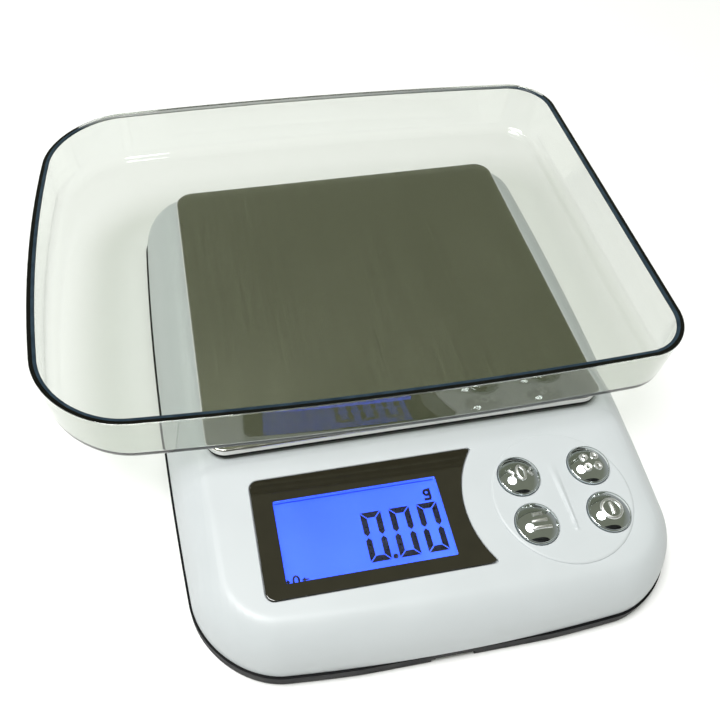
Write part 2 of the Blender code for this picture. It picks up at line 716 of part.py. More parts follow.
def make_buttons():
    flange_top = -DECK_THICKNESS - GAP
    flange_bottom = flange_top - FLANGE_THICKNESS
    plunger_top = flange_bottom - 1.0
    switch_top = plunger_top - 0.7
    for name, place in BUTTONS.items():
        cap = (
            (0.0, BUTTON_HEIGHT + BUTTON_DOME),
            (2.2, BUTTON_HEIGHT + BUTTON_DOME * 0.92),
            (4.2, BUTTON_HEIGHT + BUTTON_DOME * 0.68),
            (5.7, BUTTON_HEIGHT + BUTTON_DOME * 0.32),
            (BUTTON_RADIUS, BUTTON_HEIGHT - 0.3),
            (BUTTON_RADIUS, flange_top),
            (FLANGE_RADIUS, flange_top),
            (FLANGE_RADIUS, flange_bottom),
            (PLUNGER_RADIUS, flange_bottom),
            (PLUNGER_RADIUS, plunger_top + GAP),
            (0.0, plunger_top + GAP),
        )
        turned("button_" + name, "chrome", PANEL, cap, (*place, 0.0), 28)
        plunger_z = (plunger_top - 2.6, plunger_top)
        rod("plunger_" + name, "black_plastic", PANEL, place, PLUNGER_RADIUS, plunger_z, 14)
        size = (SWITCH_SIDE, SWITCH_SIDE)
        switch_z = (BOARD_TOP + GAP, switch_top)
        switch = centred_block("switch_" + name, "black_plastic", PANEL, place, size, switch_z)
        cut(switch, rod("switch_bore_" + name, None, PANEL, place, PLUNGER_RADIUS + GAP, (-8.2, 0.0), 14))


# ---------------------------------------------------------------- power


def make_batteries():
    """Two cylindrical cells side by side, their positive ends at opposite sides."""
    half = BATTERY_LENGTH / 2
    profile = (
        (0.0, half + BATTERY_NUB),
        (2.7, half + BATTERY_NUB),
        (2.7, half),
        (BATTERY_RADIUS - 0.5, half),
        (BATTERY_RADIUS, half - 0.5),
        (BATTERY_RADIUS, -half + 0.5),
        (BATTERY_RADIUS - 0.5, -half),
        (0.0, -half),
    )
    for index, (name, y) in enumerate(BATTERY_Y.items()):
        turn = (0.0, -math.pi / 2 if index else math.pi / 2, 0.0)
        turned(name, "battery_sleeve", SCALE, profile, (0.0, y, BATTERY_Z), 20, turn)


def make_contacts():
    plate_x = BAY_HALF_WIDTH - GAP
    thin = 0.4
    low_z = BATTERY_Z - 4.0
    high_z = BATTERY_Z + 4.0
    front_y = BATTERY_Y["battery_front"]
    back_y = BATTERY_Y["battery_back"]
    for name, x, y in (
        ("contact_negative", (-plate_x, -plate_x + thin), (front_y - 4.0, front_y + 4.0)),
        ("contact_positive", (-plate_x, -plate_x + thin), (back_y - 4.0, back_y + 4.0)),
        ("contact_bridge", (plate_x - thin, plate_x), (front_y - 4.0, back_y + 4.0)),
    ):
        block(name, "contact_metal", SCALE, x, y, (low_z, high_z))
    make_springs(plate_x - thin - GAP - SPRING_WIRE, {-1: front_y, 1: back_y})


def make_springs(start, places):
    """A conical spring at each cell's flat end; the key is the side of the bay that it is on."""
    end = BATTERY_LENGTH / 2 + GAP + SPRING_WIRE
    for side, y in places.items():
        coil = []
        for step in range(SPRING_POINTS + 1):
            share = step / SPRING_POINTS
            angle = 2 * math.pi * SPRING_TURNS * share
            radius = SPRING_RADIUS * (1.0 - share / 3)
            x = side * (start + (end - start) * share)
            coil.append((x, y + radius * math.cos(angle), BATTERY_Z + radius * math.sin(angle)))
        name = "spring_left" if side < 0 else "spring_right"
        tube(name, "contact_metal", SCALE, coil, SPRING_WIRE, 1)


def make_battery_door():
    """A plate that slides out to the back, its tongues running in the floor's grooves."""
    back = CASE.back
    front = BAY_Y[0] + GAP
    half = DOOR_HALF_WIDTH
    wide = half + DOOR_FLANGE
    tongue_z = (3.0, DOOR_TOP_Z)
    door = block("battery_door", "black_plastic", SCALE, (-wide, wide), (front, back - 2.0), tongue_z)
    face_z = (UNDERSIDE_Z, tongue_z[0] + 0.5)
    join(door, block("door_face", None, SCALE, (-half, half), (front, back), face_z))


def make_leads():
    """The leads in the case, from the load cell and the battery bay to sockets under the board."""
    top = BOARD_TOP - BOARD_THICKNESS - GAP
    for name, x in (("cell_lead_socket", -30.0), ("battery_lead_socket", -46.0)):
        centred_block(name, "sealant", PANEL, (x, -20.0), (6.0, 5.0), (top - 4.0, top))
    cell_lead = (
        (-6.0, -7.2, 20.9),
        (-10.0, -12.0, 20.6),
        (-16.0, -26.0, 14.0),
        (-24.0, -48.0, 9.5),
        (-29.5, -66.0, 10.0),
        (-30.0, -76.6, 11.9),
    )
    battery_lead = (
        (-29.9, 44.0, 9.0),
        (-38.0, 40.0, 7.5),
        (-50.0, 24.0, 6.2),
        (-52.0, -10.0, 6.0),
        (-47.5, -62.0, 9.0),
        (-46.0, -76.6, 11.9),
    )
    tube("load_cell_lead", "lead_sleeve", SCALE, smooth_route(cell_lead), 0.9)
    tube("battery_lead", "lead_sleeve", SCALE, smooth_route(battery_lead), 0.9)


clear_scene()
PARTS = new_collection("digital_gram_scale")
CUTTERS = new_collection("cutters")
CUTTERS.hide_render = True
MATERIALS = make_materials()
SCALE = new_frame("scale_frame", (BODY_SHIFT_X, BODY_SHIFT_Y, 0.0))
PANEL = new_frame("panel_frame", (0.0, PANEL_HINGE_Y, DECK_Z), SCALE, PANEL_TILT)

make_top_housing()
make_bottom_housing()
make_case_screws()
make_feet()
make_load_cell()
make_cell_mountings()
make_platform()
make_tray()
make_display()
make_board()
make_buttons()
make_batteries()
make_contacts()
make_battery_door()
make_leads()
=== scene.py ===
"""The looks of a digital gram scale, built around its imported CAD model.

Lengths are in millimetres from the platform's centre, with Z up from the table: X runs to the right along
the front edge and Y to the back.  They are turned into the frame's metres where a mesh is made.  The control
panel's parts use the panel's own frame, whose origin is on the panel's back edge.
"""

import json
import math

import bmesh
import bpy
from mathutils import Matrix, Vector


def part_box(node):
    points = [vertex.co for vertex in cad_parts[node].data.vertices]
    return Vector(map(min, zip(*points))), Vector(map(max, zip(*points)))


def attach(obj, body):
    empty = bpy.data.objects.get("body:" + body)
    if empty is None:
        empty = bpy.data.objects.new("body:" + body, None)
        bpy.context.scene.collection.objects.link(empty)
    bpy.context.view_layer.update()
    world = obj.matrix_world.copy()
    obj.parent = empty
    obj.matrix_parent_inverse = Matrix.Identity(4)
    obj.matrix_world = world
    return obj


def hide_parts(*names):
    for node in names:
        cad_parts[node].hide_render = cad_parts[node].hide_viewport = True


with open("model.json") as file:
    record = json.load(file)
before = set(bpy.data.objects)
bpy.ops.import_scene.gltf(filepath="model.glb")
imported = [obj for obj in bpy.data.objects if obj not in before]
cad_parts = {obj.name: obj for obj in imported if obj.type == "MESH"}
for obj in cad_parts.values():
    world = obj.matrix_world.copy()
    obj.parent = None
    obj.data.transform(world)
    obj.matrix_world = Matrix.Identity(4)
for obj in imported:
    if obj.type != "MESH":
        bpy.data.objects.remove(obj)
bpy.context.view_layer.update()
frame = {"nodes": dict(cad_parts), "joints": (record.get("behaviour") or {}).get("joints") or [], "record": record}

MM = 0.001
TAU = 2 * math.pi

# ---------------------------------------------------------------- places read from the CAD model

PLATE_LOW, PLATE_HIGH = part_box("platform_plate")
HOME = Vector(((PLATE_LOW.x + PLATE_HIGH.x) / 2, (PLATE_LOW.y + PLATE_HIGH.y) / 2, 0.0))


def low_high(node):
    """A CAD node's lowest and highest corner, in millimetres from the platform's centre."""
    low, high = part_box(node)
    return (low - HOME) / MM, (high - HOME) / MM


CASE_LOW, CASE_HIGH = low_high("top_housing")
FLOOR_LOW = low_high("bottom_housing")[0]
TRAY_LOW, TRAY_HIGH = low_high("tray")
STEEL_LOW, STEEL_HIGH = low_high("platform_plate")
DOOR_LOW, DOOR_HIGH = low_high("battery_door")

PRESS_AXIS = next(joint["axis"] for joint in frame["joints"] if joint["name"] == "press_tare")
PANEL_TILT = math.atan2(-PRESS_AXIS[1], PRESS_AXIS[2])
PANEL_HINGE_Y = STEEL_LOW.y
DECK_Z = CASE_HIGH.z
SEAM = 0.3
PARTING_Z = CASE_LOW.z - SEAM / 2
BENCH = Matrix.Translation(HOME) @ Matrix.Scale(MM, 4)
PANEL = BENCH @ Matrix.Translation((0.0, PANEL_HINGE_Y, DECK_Z)) @ Matrix.Rotation(PANEL_TILT, 4, "X")

BUTTONS = {}
for button in ("tare", "units", "count", "power"):
    low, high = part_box("button_" + button)
    middle = PANEL.inverted() @ ((low + high) / 2)
    BUTTONS[button] = (middle.x, middle.y)
# the pad's centre is a little to the left of the buttons' middle, and in front of it
PAD_X = sum(place[0] for place in BUTTONS.values()) / 4 - 0.5
PAD_Y = sum(place[1] for place in BUTTONS.values()) / 4 - 0.25

# ---------------------------------------------------------------- sizes that the looks add

# points on a rounded corner and along a side
CORNER_STEPS = 22
SIDE_STEPS = 14

# the case: its domed side, the crease where the top begins, and the black band round its foot, which goes down to
# the floor as painted shade
SHOULDER_INSET = 13.0
CREASE_INSET = 10.4
CASE_WALL = 2.2
BAND_PROUD = 0.7
BAND_DEPTH = 1.6
BAND_RISE = 1.1
# how low the band reaches: almost to the floor, painted shade for the gap under the case
BAND_SHADE_FOOT = 0.6
ARCH_X = -1.15
ARCH_WIDTH = 13.3
ARCH_RISE = 1.2
DOOR_GAP = 0.5
DECK_WALL = 2.4
PLATEAU_STEP = 0.35
CASE_FRONT_BOW = 4.3

# the panel: the lens with its scooped end, the display's window in it, and the round pad with the buttons
LENS_TOP = -8.8
LENS_BOTTOM = -46.0
LENS_RADIUS = 2.6
LENS_SCOOP = 30.7
LENS_SCOOP_CENTRE = (40.2, -29.3)
LENS_LOW = -1.1
LENS_HIGH = 0.2
WINDOW_CENTRE = (-22.0, -29.2)
PAD_RADIUS = 21.7
PAD_EDGE = 0.9
BUTTON_HOLE = 6.75

# the platform: a bent sheet on a carrier, whose black edge is brought out flush under the skirt, partly the
# carrier and partly painted shade for the gap there
PLATE_CORNER = 6.5
PLATE_BEND = 0.8
PLATE_SHEET = 0.8
PLATE_JOIN = 4.0
CARRIER_LOW = 26.4
CARRIER_HIGH = 28.05

# the tray: its turn on the platform, its wall from the foot to the rim, and the bow of its sides
TRAY_TURN = math.radians(-1.15)
TRAY_DRAFT = 0.7
TRAY_FILLET = 5.0
TRAY_BOWL = 3.4
TRAY_WALL = 0.8
TRAY_FLOOR = 2.0
TRAY_RIM = 2.4
TRAY_EDGE = 1.35
TRAY_ROUND = 0.35
TRAY_LIP = 0.6
TRAY_SIDE_BOW = 3.4
TRAY_END_BOW = 5.9


# ---------------------------------------------------------------- materials


class Surface:
    """One Principled material, with short ways to add the nodes that give it its detail."""

    def __init__(self, name, colour, roughness, metallic=0.0, **constants):
        self.material = bpy.data.materials.new(name)
        self.material.use_nodes = True
        self.tree = self.material.node_tree
        self.shader = self.tree.nodes["Principled BSDF"]
        self.colour = colour
        self.roughness = roughness
        self.set("Base Color", (*colour, 1.0))
        self.set("Roughness", roughness)
        self.set("Metallic", metallic)
        for socket, value in constants.items():
            self.set(socket.replace("_", " "), value)
        coordinates = self.tree.nodes.new("ShaderNodeTexCoord")
        self.place = coordinates.outputs["Object"]

    def set(self, socket, value):
        self.shader.inputs[socket].default_value = value

    def node(self, kind, links=None, values=None, **settings):
        made = self.tree.nodes.new(kind)
        for key, value in settings.items():
            setattr(made, key, value)
        for key, value in (values or {}).items():
            made.inputs[key].default_value = value
        for key, socket in (links or {}).items():
            self.tree.links.new(socket, made.inputs[key])
        return made

    def join(self, output, socket):
        self.tree.links.new(output, self.shader.inputs[socket])

    def noise(self, size, stretch=(1.0, 1.0, 1.0), detail=3.0):
        """A noise whose features are about this many millimetres, stretched along the axes."""
        scale = [1.0 / (size * MM * factor) for factor in stretch]
        mapping = self.node("ShaderNodeMapping", {"Vector": self.place}, {"Scale": scale})
        spot = {"Vector": mapping.outputs["Vector"]}
        noise = self.node("ShaderNodeTexNoise", spot, {"Scale": 1.0, "Detail": detail, "Distortion": 0.0})
        return noise.outputs["Fac"]

    def ramp(self, fac, low, high, out_low, out_high):
        made = self.node(
            "ShaderNodeMapRange",
            {"Value": fac},
            {"From Min": low, "From Max": high, "To Min": out_low, "To Max": out_high},
        )
        return made.outputs["Result"]

    def mix(self, fac, first, second):
        """Two colours, or colour sockets, mixed by a value."""
        made = self.node("ShaderNodeMix", data_type="RGBA", blend_type="MIX")
        for index, item in ((0, fac), (6, first), (7, second)):
            if isinstance(item, bpy.types.NodeSocket):
                self.tree.links.new(item, made.inputs[index])
            elif isinstance(item, tuple):
                made.inputs[index].default_value = (*item, 1.0)
            else:
                made.inputs[index].default_value = item
        return made.outputs[2]

    def bump(self, height, depth):
        """Adds a bump of this depth in millimetres; bumps are stacked in the order they are added."""
        settings = {"Distance": depth * MM, "Strength": 1.0}
        made = self.node("ShaderNodeBump", {"Height": height}, settings)
        normal = self.shader.inputs["Normal"]
        if normal.is_linked:
            self.tree.links.new(normal.links[0].from_socket, made.inputs["Normal"])
        self.join(made.outputs["Normal"], "Normal")

    def vary(self, fac, colour_spread, rough_spread):
        """Colour a little darker and lighter, and roughness a little up and down, with a noise."""
        dark = tuple(channel * (1.0 - colour_spread) for channel in self.colour)
        light = tuple(min(1.0, channel * (1.0 + colour_spread)) for channel in self.colour)
        spread = self.ramp(fac, 0.3, 0.7, 0.0, 1.0)
        self.join(self.mix(spread, dark, light), "Base Color")
        rough = self.ramp(fac, 0.3, 0.7, self.roughness - rough_spread, self.roughness + rough_spread)
        self.join(rough, "Roughness")


def moulded(name, colour, roughness, grain, depth, spread=0.04, **constants):
    """Moulded plastic or rubber: a fine texture, and slow changes of shade and gloss."""
    made = Surface(name, colour, roughness, **constants)
    made.vary(made.noise(9.0, detail=5.0), spread, roughness * 0.12)
    made.bump(made.noise(grain, detail=2.0), depth)
    return made


def metal(name, colour, roughness, grain, stretch, depth):
    """Worked metal: grain along one axis that shows in colour, gloss and bump."""
    made = Surface(name, colour, roughness, 1.0)
    lines = made.noise(grain, stretch, detail=4.0)
    made.vary(lines, 0.06, roughness * 0.25)
    made.bump(lines, depth)
    return made


def white_plastic():
    made = Surface("pearl_white_plastic", (0.55, 0.583, 0.60), 0.44, Coat_Weight=0.04, Coat_Roughness=0.35)
    cloud = made.noise(14.0, detail=4.0)
    made.vary(cloud, 0.012, 0.04)
    made.bump(made.noise(0.9, detail=2.0), 0.003)
    made.bump(made.noise(0.12, detail=1.0), 0.0015)
    return made.material


def clear_plastic():
    """Clear and faintly green; lamps and soft light reach what lies under it."""
    made = Surface("clear_acrylic", (0.79, 0.812, 0.778), 0.015, Transmission_Weight=1.0, IOR=1.53)
    smear = made.noise(6.0, (1.0, 2.5, 1.0), detail=5.0)
    made.join(made.ramp(smear, 0.35, 0.75, 0.006, 0.03), "Roughness")
    made.bump(made.noise(22.0, detail=0.0), 0.002)
    let_through(made, (0.88, 0.89, 0.875))
    return made.material


def let_through(made, tint):
    """Shadow and diffuse rays pass straight through with a tint, so the glass doesn't black out a lamp."""
    path = made.node("ShaderNodeLightPath")
    either = made.node(
        "ShaderNodeMath",
        {0: path.outputs["Is Shadow Ray"], 1: path.outputs["Is Diffuse Ray"]},
        operation="MAXIMUM",
    )
    clear = made.node("ShaderNodeBsdfTransparent", values={"Color": (*tint, 1.0)})
    mixed = made.node(
        "ShaderNodeMixShader",
        {0: either.outputs["Value"], 1: made.shader.outputs["BSDF"], 2: clear.outputs["BSDF"]},
    )
    output = made.tree.nodes["Material Output"]
    made.tree.links.new(mixed.outputs["Shader"], output.inputs["Surface"])


def edge_plastic():
    """The rim's inner edge: a dark navy that is painted shade for the dark line the clear rim shows, and a pale
    grey along the back that is painted light.
    """
    made = Surface("acrylic_rim_painted_shade_and_light", (0.018, 0.034, 0.052), 0.08, IOR=1.47)
    split = made.node("ShaderNodeSeparateXYZ", {"Vector": made.place})
    far_rim = TRAY_HIGH.y * MM
    back = made.ramp(split.outputs["Y"], far_rim * 0.90 + HOME.y, far_rim * 0.98 + HOME.y, 0.0, 1.0)
    shade = made.ramp(made.noise(4.0, detail=3.0), 0.3, 0.7, 0.0, 1.0)
    # painted shade: the dark navy of the rim's inner edge
    navy = made.mix(shade, (0.012, 0.024, 0.038), (0.026, 0.046, 0.066))
    # painted light: a pale grey towards the back of the rim
    made.join(made.mix(back, navy, (0.33, 0.345, 0.33)), "Base Color")
    made.join(made.ramp(made.noise(3.0), 0.3, 0.7, 0.06, 0.12), "Roughness")
    made.bump(made.noise(0.5), 0.004)
    return made.material


def brushed_steel():
    """Very fine grain along the depth of the plate, with slow changes of tone."""
    made = Surface("brushed_stainless", (0.62, 0.625, 0.50), 0.18, 1.0)
    fine = made.noise(0.35, (1.0, 90.0, 6.0), detail=1.0)
    coarse = made.noise(1.1, (1.0, 45.0, 4.0), detail=2.0)
    cloud = made.noise(28.0, (1.0, 2.2, 1.0), detail=3.0)
    bright = made.mix(made.ramp(fine, 0.25, 0.75, 0.0, 1.0), (0.60, 0.605, 0.48), (0.665, 0.67, 0.545))
    streaked = made.mix(made.ramp(coarse, 0.25, 0.75, 0.0, 0.7), bright, (0.54, 0.54, 0.425))
    made.join(streaked, "Base Color")
    rough = made.node(
        "ShaderNodeMath",
        {0: made.ramp(fine, 0.3, 0.7, 0.17, 0.19), 1: made.ramp(cloud, 0.3, 0.7, -0.015, 0.015)},
        operation="ADD",
    )
    made.join(rough.outputs["Value"], "Roughness")
    made.bump(coarse, 0.0003)
    made.bump(fine, 0.0003)
    return made.material


def steel_edge_painted_sheen():
    """The bent edge and the skirt, lighter and glossier than the plate: a painted sheen for the highlight along
    the bend and the silver band the skirt shows.
    """
    made = Surface("bright_edge_steel_painted_sheen", (0.80, 0.79, 0.76), 0.10, 1.0)
    made.vary(made.noise(6.0, detail=4.0), 0.03, 0.03)
    made.bump(made.noise(3.0, (1.0, 1.0, 0.3)), 0.002)
    return made.material


def lens_mask():
    made = Surface("smoked_lens_mask", (0.022, 0.020, 0.012), 0.05, Coat_Weight=0.6, Coat_Roughness=0.02)
    made.vary(made.noise(5.0, detail=4.0), 0.08, 0.015)
    made.bump(made.noise(8.0, detail=1.0), 0.004)
    return made.material


def lens_window():
    made = Surface("lens_window", (0.93, 0.95, 1.0), 0.01, Transmission_Weight=1.0, IOR=1.45)
    made.join(made.ramp(made.noise(6.0), 0.3, 0.7, 0.005, 0.02), "Roughness")
    return made.material


def lcd_light():
    """The backlit panel: blue, brightest in the middle, with the faint grid of its unlit cells."""
    made = Surface("lcd_blue_backlight", (0.03, 0.07, 0.40), 0.25)
    cloud = made.noise(30.0, detail=1.0)
    glow = made.mix(made.ramp(cloud, 0.3, 0.7, 0.0, 1.0), (0.022, 0.072, 0.98), (0.044, 0.124, 1.0))
    fine = made.mix(made.ramp(made.noise(0.25), 0.3, 0.7, 0.0, 0.10), glow, (0.01, 0.04, 0.80))
    made.join(fine, "Emission Color")
    made.set("Emission Strength", 2.0)
    return made.material


def lcd_ink():
    made = Surface("lcd_segment", (0.006, 0.008, 0.030), 0.3)
    made.vary(made.noise(0.8), 0.3, 0.05)
    return made.material


def chrome():
    made = Surface("chrome_plating", (0.73, 0.78, 0.79), 0.05, 1.0)
    made.vary(made.noise(3.0, detail=6.0), 0.03, 0.02)
    made.bump(made.noise(2.2, detail=2.0), 0.006)
    return made.material


def circuit_board():
    """Green solder mask with the tracks just showing under it, and tinned pads."""
    made = Surface("solder_mask", (0.012, 0.13, 0.045), 0.28, Coat_Weight=0.4, Coat_Roughness=0.15)
    mapping = made.node("ShaderNodeMapping", {"Vector": made.place}, {"Scale": (420.0, 420.0, 420.0)})
    cells = made.node(
        "ShaderNodeTexVoronoi",
        {"Vector": mapping.outputs["Vector"]},
        {"Scale": 1.0, "Randomness": 0.25},
        distance="MANHATTAN",
    )
    track = made.ramp(cells.outputs["Distance"], 0.42, 0.5, 0.0, 1.0)
    pad = made.ramp(cells.outputs["Distance"], 0.09, 0.07, 0.0, 1.0)
    green = made.mix(track, (0.012, 0.13, 0.045), (0.025, 0.20, 0.07))
    made.join(made.mix(pad, green, (0.62, 0.60, 0.55)), "Base Color")
    made.join(pad, "Metallic")
    made.bump(track, 0.03)
    return made.material


def battery_sleeve():
    """A plain two-tone sleeve with no marks, and a bare steel end."""
    made = Surface("battery_sleeve", (0.02, 0.06, 0.045), 0.22, 0.4, Coat_Weight=0.5)
    split = made.node("ShaderNodeSeparateXYZ", {"Vector": made.place})
    band = made.ramp(split.outputs["X"], 0.0195, 0.0200, 0.0, 1.0)
    made.join(made.mix(band, (0.02, 0.06, 0.045), (0.55, 0.34, 0.12)), "Base Color")
    made.join(made.ramp(made.noise(4.0), 0.3, 0.7, 0.18, 0.28), "Roughness")
    made.bump(made.noise(1.2), 0.01)
    return made.material


def make_materials():
    black = moulded("black_plastic", (0.004, 0.004, 0.005), 0.55, 0.22, 0.005, 0.18, Specular_IOR_Level=0.08)
    # the icons' metal: satin, and lighter than the chrome, a painted highlight so the raised icons read pale
    relief = metal("relief_chrome_painted_highlight", (0.95, 0.96, 0.93), 0.36, 0.3, (1.0, 1.0, 1.0), 0.004)
    aluminium = metal("milled_aluminium", (0.72, 0.73, 0.75), 0.30, 0.18, (1.0, 30.0, 1.0), 0.01)
    screw = metal("zinc_plated_screw", (0.60, 0.60, 0.58), 0.26, 0.25, (1.0, 1.0, 3.0), 0.01)
    contact = metal("nickel_contact", (0.66, 0.62, 0.54), 0.22, 0.3, (1.0, 1.0, 8.0), 0.008)
    return {
        "clear_plastic": clear_plastic(),
        "rim_painted_shade_and_light": edge_plastic(),
        "brushed_steel": brushed_steel(),
        "steel_edge_painted_sheen": steel_edge_painted_sheen(),
        "black_plastic": black.material,
        "white_plastic": white_plastic(),
        "smoked_lens": lens_mask(),
        "lens_window": lens_window(),
        "lcd_glass": lcd_light(),
        "lcd_ink": lcd_ink(),
        "backlight": moulded("light_guide", (0.80, 0.86, 0.95), 0.30, 0.8, 0.01).material,
        "rubber": moulded("foot_rubber", (0.022, 0.022, 0.022), 0.72, 0.30, 0.04, 0.2).material,
        "chrome": chrome(),
        "satin_chrome_painted_highlight": relief.material,
        "aluminium": aluminium.material,
        "steel_screw": screw.material,
        "circuit_board": circuit_board(),
        "sealant": moulded("silicone_sealant", (0.80, 0.80, 0.76), 0.45, 0.9, 0.06).material,
        "battery_sleeve": battery_sleeve(),
        "contact_metal": contact.material,
        "lead_sleeve": moulded("lead_insulation", (0.42, 0.02, 0.02), 0.40, 0.35, 0.01, 0.08).material,
    }


MATERIALS = make_materials()


def dress_cad_nodes():
    """Every CAD node that stays in sight gets the procedural material of its slot."""
    for row in frame["record"]["subparts"]:
        node = frame["nodes"][row["node"]]
        node.data.materials.clear()
        node.data.materials.append(MATERIALS[row["material_slot"]])


# ---------------------------------------------------------------- outlines


def arc(centre, radius, start, end, steps):
    """Points along an arc, its angles in degrees."""
    points = []
    for step in range(steps + 1):
        angle = math.radians(start + (end - start) * step / steps)
        points.append((centre[0] + radius * math.cos(angle), centre[1] + radius * math.sin(angle)))
    return points


def rounded_rectangle(width, depth, radius, steps=CORNER_STEPS, centre=(0.0, 0.0)):
    points = []
    reach = (width / 2 - radius, depth / 2 - radius)
    for side_x, side_y, start in ((1, -1, -90), (1, 1, 0), (-1, 1, 90), (-1, -1, 180)):
        corner = (centre[0] + side_x * reach[0], centre[1] + side_y * reach[1])
        points.extend(arc(corner, radius, start, start + 90, steps))
    return points


class Bowed:
    """A rounded rectangle whose sides and front bulge outwards."""

    def __init__(self, half_width, front, back, front_radius, back_radius, side_bow, front_bow, widest_y):
        self.half_width = half_width
        self.front = front
        self.back = back
        self.front_radius = front_radius
        self.back_radius = back_radius
        self.side_bow = side_bow
        self.front_bow = front_bow
        self.widest_y = widest_y

    def outline(self, inset=0.0):
        half_width = self.half_width - inset
        front = self.front + inset
        back = self.back - inset
        near = max(self.front_radius - inset, 2.0)
        far = max(self.back_radius - inset, 2.0)
        corners = (
            arc((half_width - near, front + near), near, -90, 0, CORNER_STEPS),
            arc((half_width - far, back - far), far, 0, 90, CORNER_STEPS),
            arc((-half_width + far, back - far), far, 90, 180, CORNER_STEPS),
            arc((-half_width + near, front + near), near, 180, 270, CORNER_STEPS),
        )
        points = []
        for index, corner in enumerate(corners):
            points.extend(corner)
            start = Vector(corner[-1])
            end = Vector(corners[(index + 1) % 4][0])
            points.extend(tuple(start.lerp(end, step / SIDE_STEPS)) for step in range(1, SIDE_STEPS))
        return [self.bowed(x, y) for x, y in points]

    def bowed(self, x, y):
        across = x / self.half_width
        along = (y - self.widest_y) / (self.widest_y - self.front)
        middle = (self.front + self.back) / 2
        frontness = max(0.0, (middle - y) / (middle - self.front))
        return (
            x + across * self.side_bow * (1.0 - along**2),
            y - frontness * self.front_bow * (1.0 - across**2),
        )


CASE = Bowed(
    half_width=73.2,
    front=CASE_LOW.y + CASE_FRONT_BOW,
    back=CASE_HIGH.y,
    front_radius=23.0,
    back_radius=18.0,
    side_bow=6.8,
    front_bow=CASE_FRONT_BOW,
    widest_y=15.0,
)


def lens_outline(grow=0.0):
    """The display lens: a rectangle whose right end is scooped out around the round button pad."""
    left = (PANEL.inverted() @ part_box("display_lens")[0]).x - grow
    top = LENS_TOP + grow
    bottom = LENS_BOTTOM - grow
    scoop = LENS_SCOOP - grow
    centre_y = LENS_SCOOP_CENTRE[1]
    top_angle = math.degrees(math.asin((top - 1.0 - centre_y) / scoop))
    bottom_angle = math.degrees(math.asin((bottom + 1.0 - centre_y) / scoop))
    radius = LENS_RADIUS + grow
    points = arc(LENS_SCOOP_CENTRE, scoop, 180.0 - bottom_angle, 180.0 - top_angle, 36)
    tip = points[-1]
    points.extend([(tip[0] + 0.25, tip[1] + 0.55), (tip[0] - 0.25, top - 0.1), (tip[0] - 0.9, top)])
    points.extend(arc((left + radius, top - radius), radius, 90, 180, 12))
    points.extend(arc((left + radius, bottom + radius), radius, 180, 270, 12))
    foot = points[0]
    points.extend([(foot[0] - 1.9, bottom), (foot[0] - 0.7, bottom + 0.12), (foot[0] + 0.02, bottom + 0.45)])
    return points


# ---------------------------------------------------------------- meshes


def smooth(mesh, angle=32.0):
    mesh.shade_smooth()
    mesh.set_sharp_from_angle(angle=math.radians(angle))


def piece(name, bm, matrix, slot=None, angle=32.0, materials=None):
    """A mesh object in the frame's metres, with a slot's material or several; without any it is a cutter."""
    bmesh.ops.recalc_face_normals(bm, faces=bm.faces)
    mesh = bpy.data.meshes.new(name)
    bm.to_mesh(mesh)
    bm.free()
    mesh.transform(matrix)
    smooth(mesh, angle)
    obj = bpy.data.objects.new(name, mesh)
    bpy.context.scene.collection.objects.link(obj)
    for material in materials or ([slot] if slot else []):
        mesh.materials.append(MATERIALS[material])
    return obj


def loft(rings, closed=False):
    """A solid through rings of equally many points; closed joins the last ring to the first."""
    bm = bmesh.new()
    levels = [[bm.verts.new(point) for point in ring] for ring in rings]
    pairs = list(zip(levels, levels[1:]))
    if closed:
        pairs.append((levels[-1], levels[0]))
    for lower, upper in pairs:
        for index in range(len(lower)):
            after = (index + 1) % len(lower)
            bm.faces.new((lower[index], lower[after], upper[after], upper[index]))
    if not closed:
        bm.faces.new(list(reversed(levels[0])))
        bm.faces.new(levels[-1])
    return bm


def stack(outline_of, levels):
    """Rings of one outline at (inset, height) levels."""
    return [[(x, y, z) for x, y in outline_of(inset)] for inset, z in levels]


def prism(outline, low, high):
    return loft([[(x, y, z) for x, y in outline] for z in (low, high)])


def lathe(profile, steps=64):
    """A solid turned about Z from a profile of (radius, height), both ends on the axis."""
    bm = bmesh.new()
    rings = []
    for radius, z in profile:
        if radius == 0.0:
            rings.append([bm.verts.new((0.0, 0.0, z))])
        else:
            turn = (TAU * step / steps for step in range(steps))
            rings.append([bm.verts.new((radius * math.cos(a), radius * math.sin(a), z)) for a in turn])
    for first, second in zip(rings, rings[1:]):
        for step in range(steps):
            after = (step + 1) % steps
            corners = [first[step % len(first)], first[after % len(first)]]
            corners += [second[after % len(second)], second[step % len(second)]]
            unique = list(dict.fromkeys(corners))
            if len(unique) > 2:
                bm.faces.new(unique)
    return bm


def carve(target, steps):
    """Applies Boolean steps, (operation, other object), and removes the others."""
    for operation, other in steps:
        modifier = target.modifiers.new(operation, "BOOLEAN")
        modifier.operation = operation
        modifier.solver = "EXACT"
        modifier.object = other
    graph = bpy.context.evaluated_depsgraph_get()
    mesh = bpy.data.meshes.new_from_object(target.evaluated_get(graph))
    target.modifiers.clear()
    target.data = mesh
    for _, other in steps:
        bpy.data.objects.remove(other)
    return target


def place(obj, body, slot, *nodes):
    """Rides on a body and stands for CAD nodes; the slot is not used."""
    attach(obj, body)
    if nodes:
        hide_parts(*nodes)
    return obj


def even_normals(obj):
    """Keeps big flat faces flat next to rounded edges."""
    modifier = obj.modifiers.new("Even", "WEIGHTED_NORMAL")
    modifier.keep_sharp = True
    modifier.weight = 60


def ease(low, high, value):
    """0 below low, 1 above high, and a smooth step between."""
    share = min(1.0, max(0.0, (value - low) / (high - low)))
    return share * share * (3.0 - 2.0 * share)


# ---------------------------------------------------------------- the case


def crease_softness(x):
    """How far the crease is rounded: tight on the left, and melting away under the pad on the right."""
    return 0.35 + 1.25 * ease(0.0, 45.0, x)


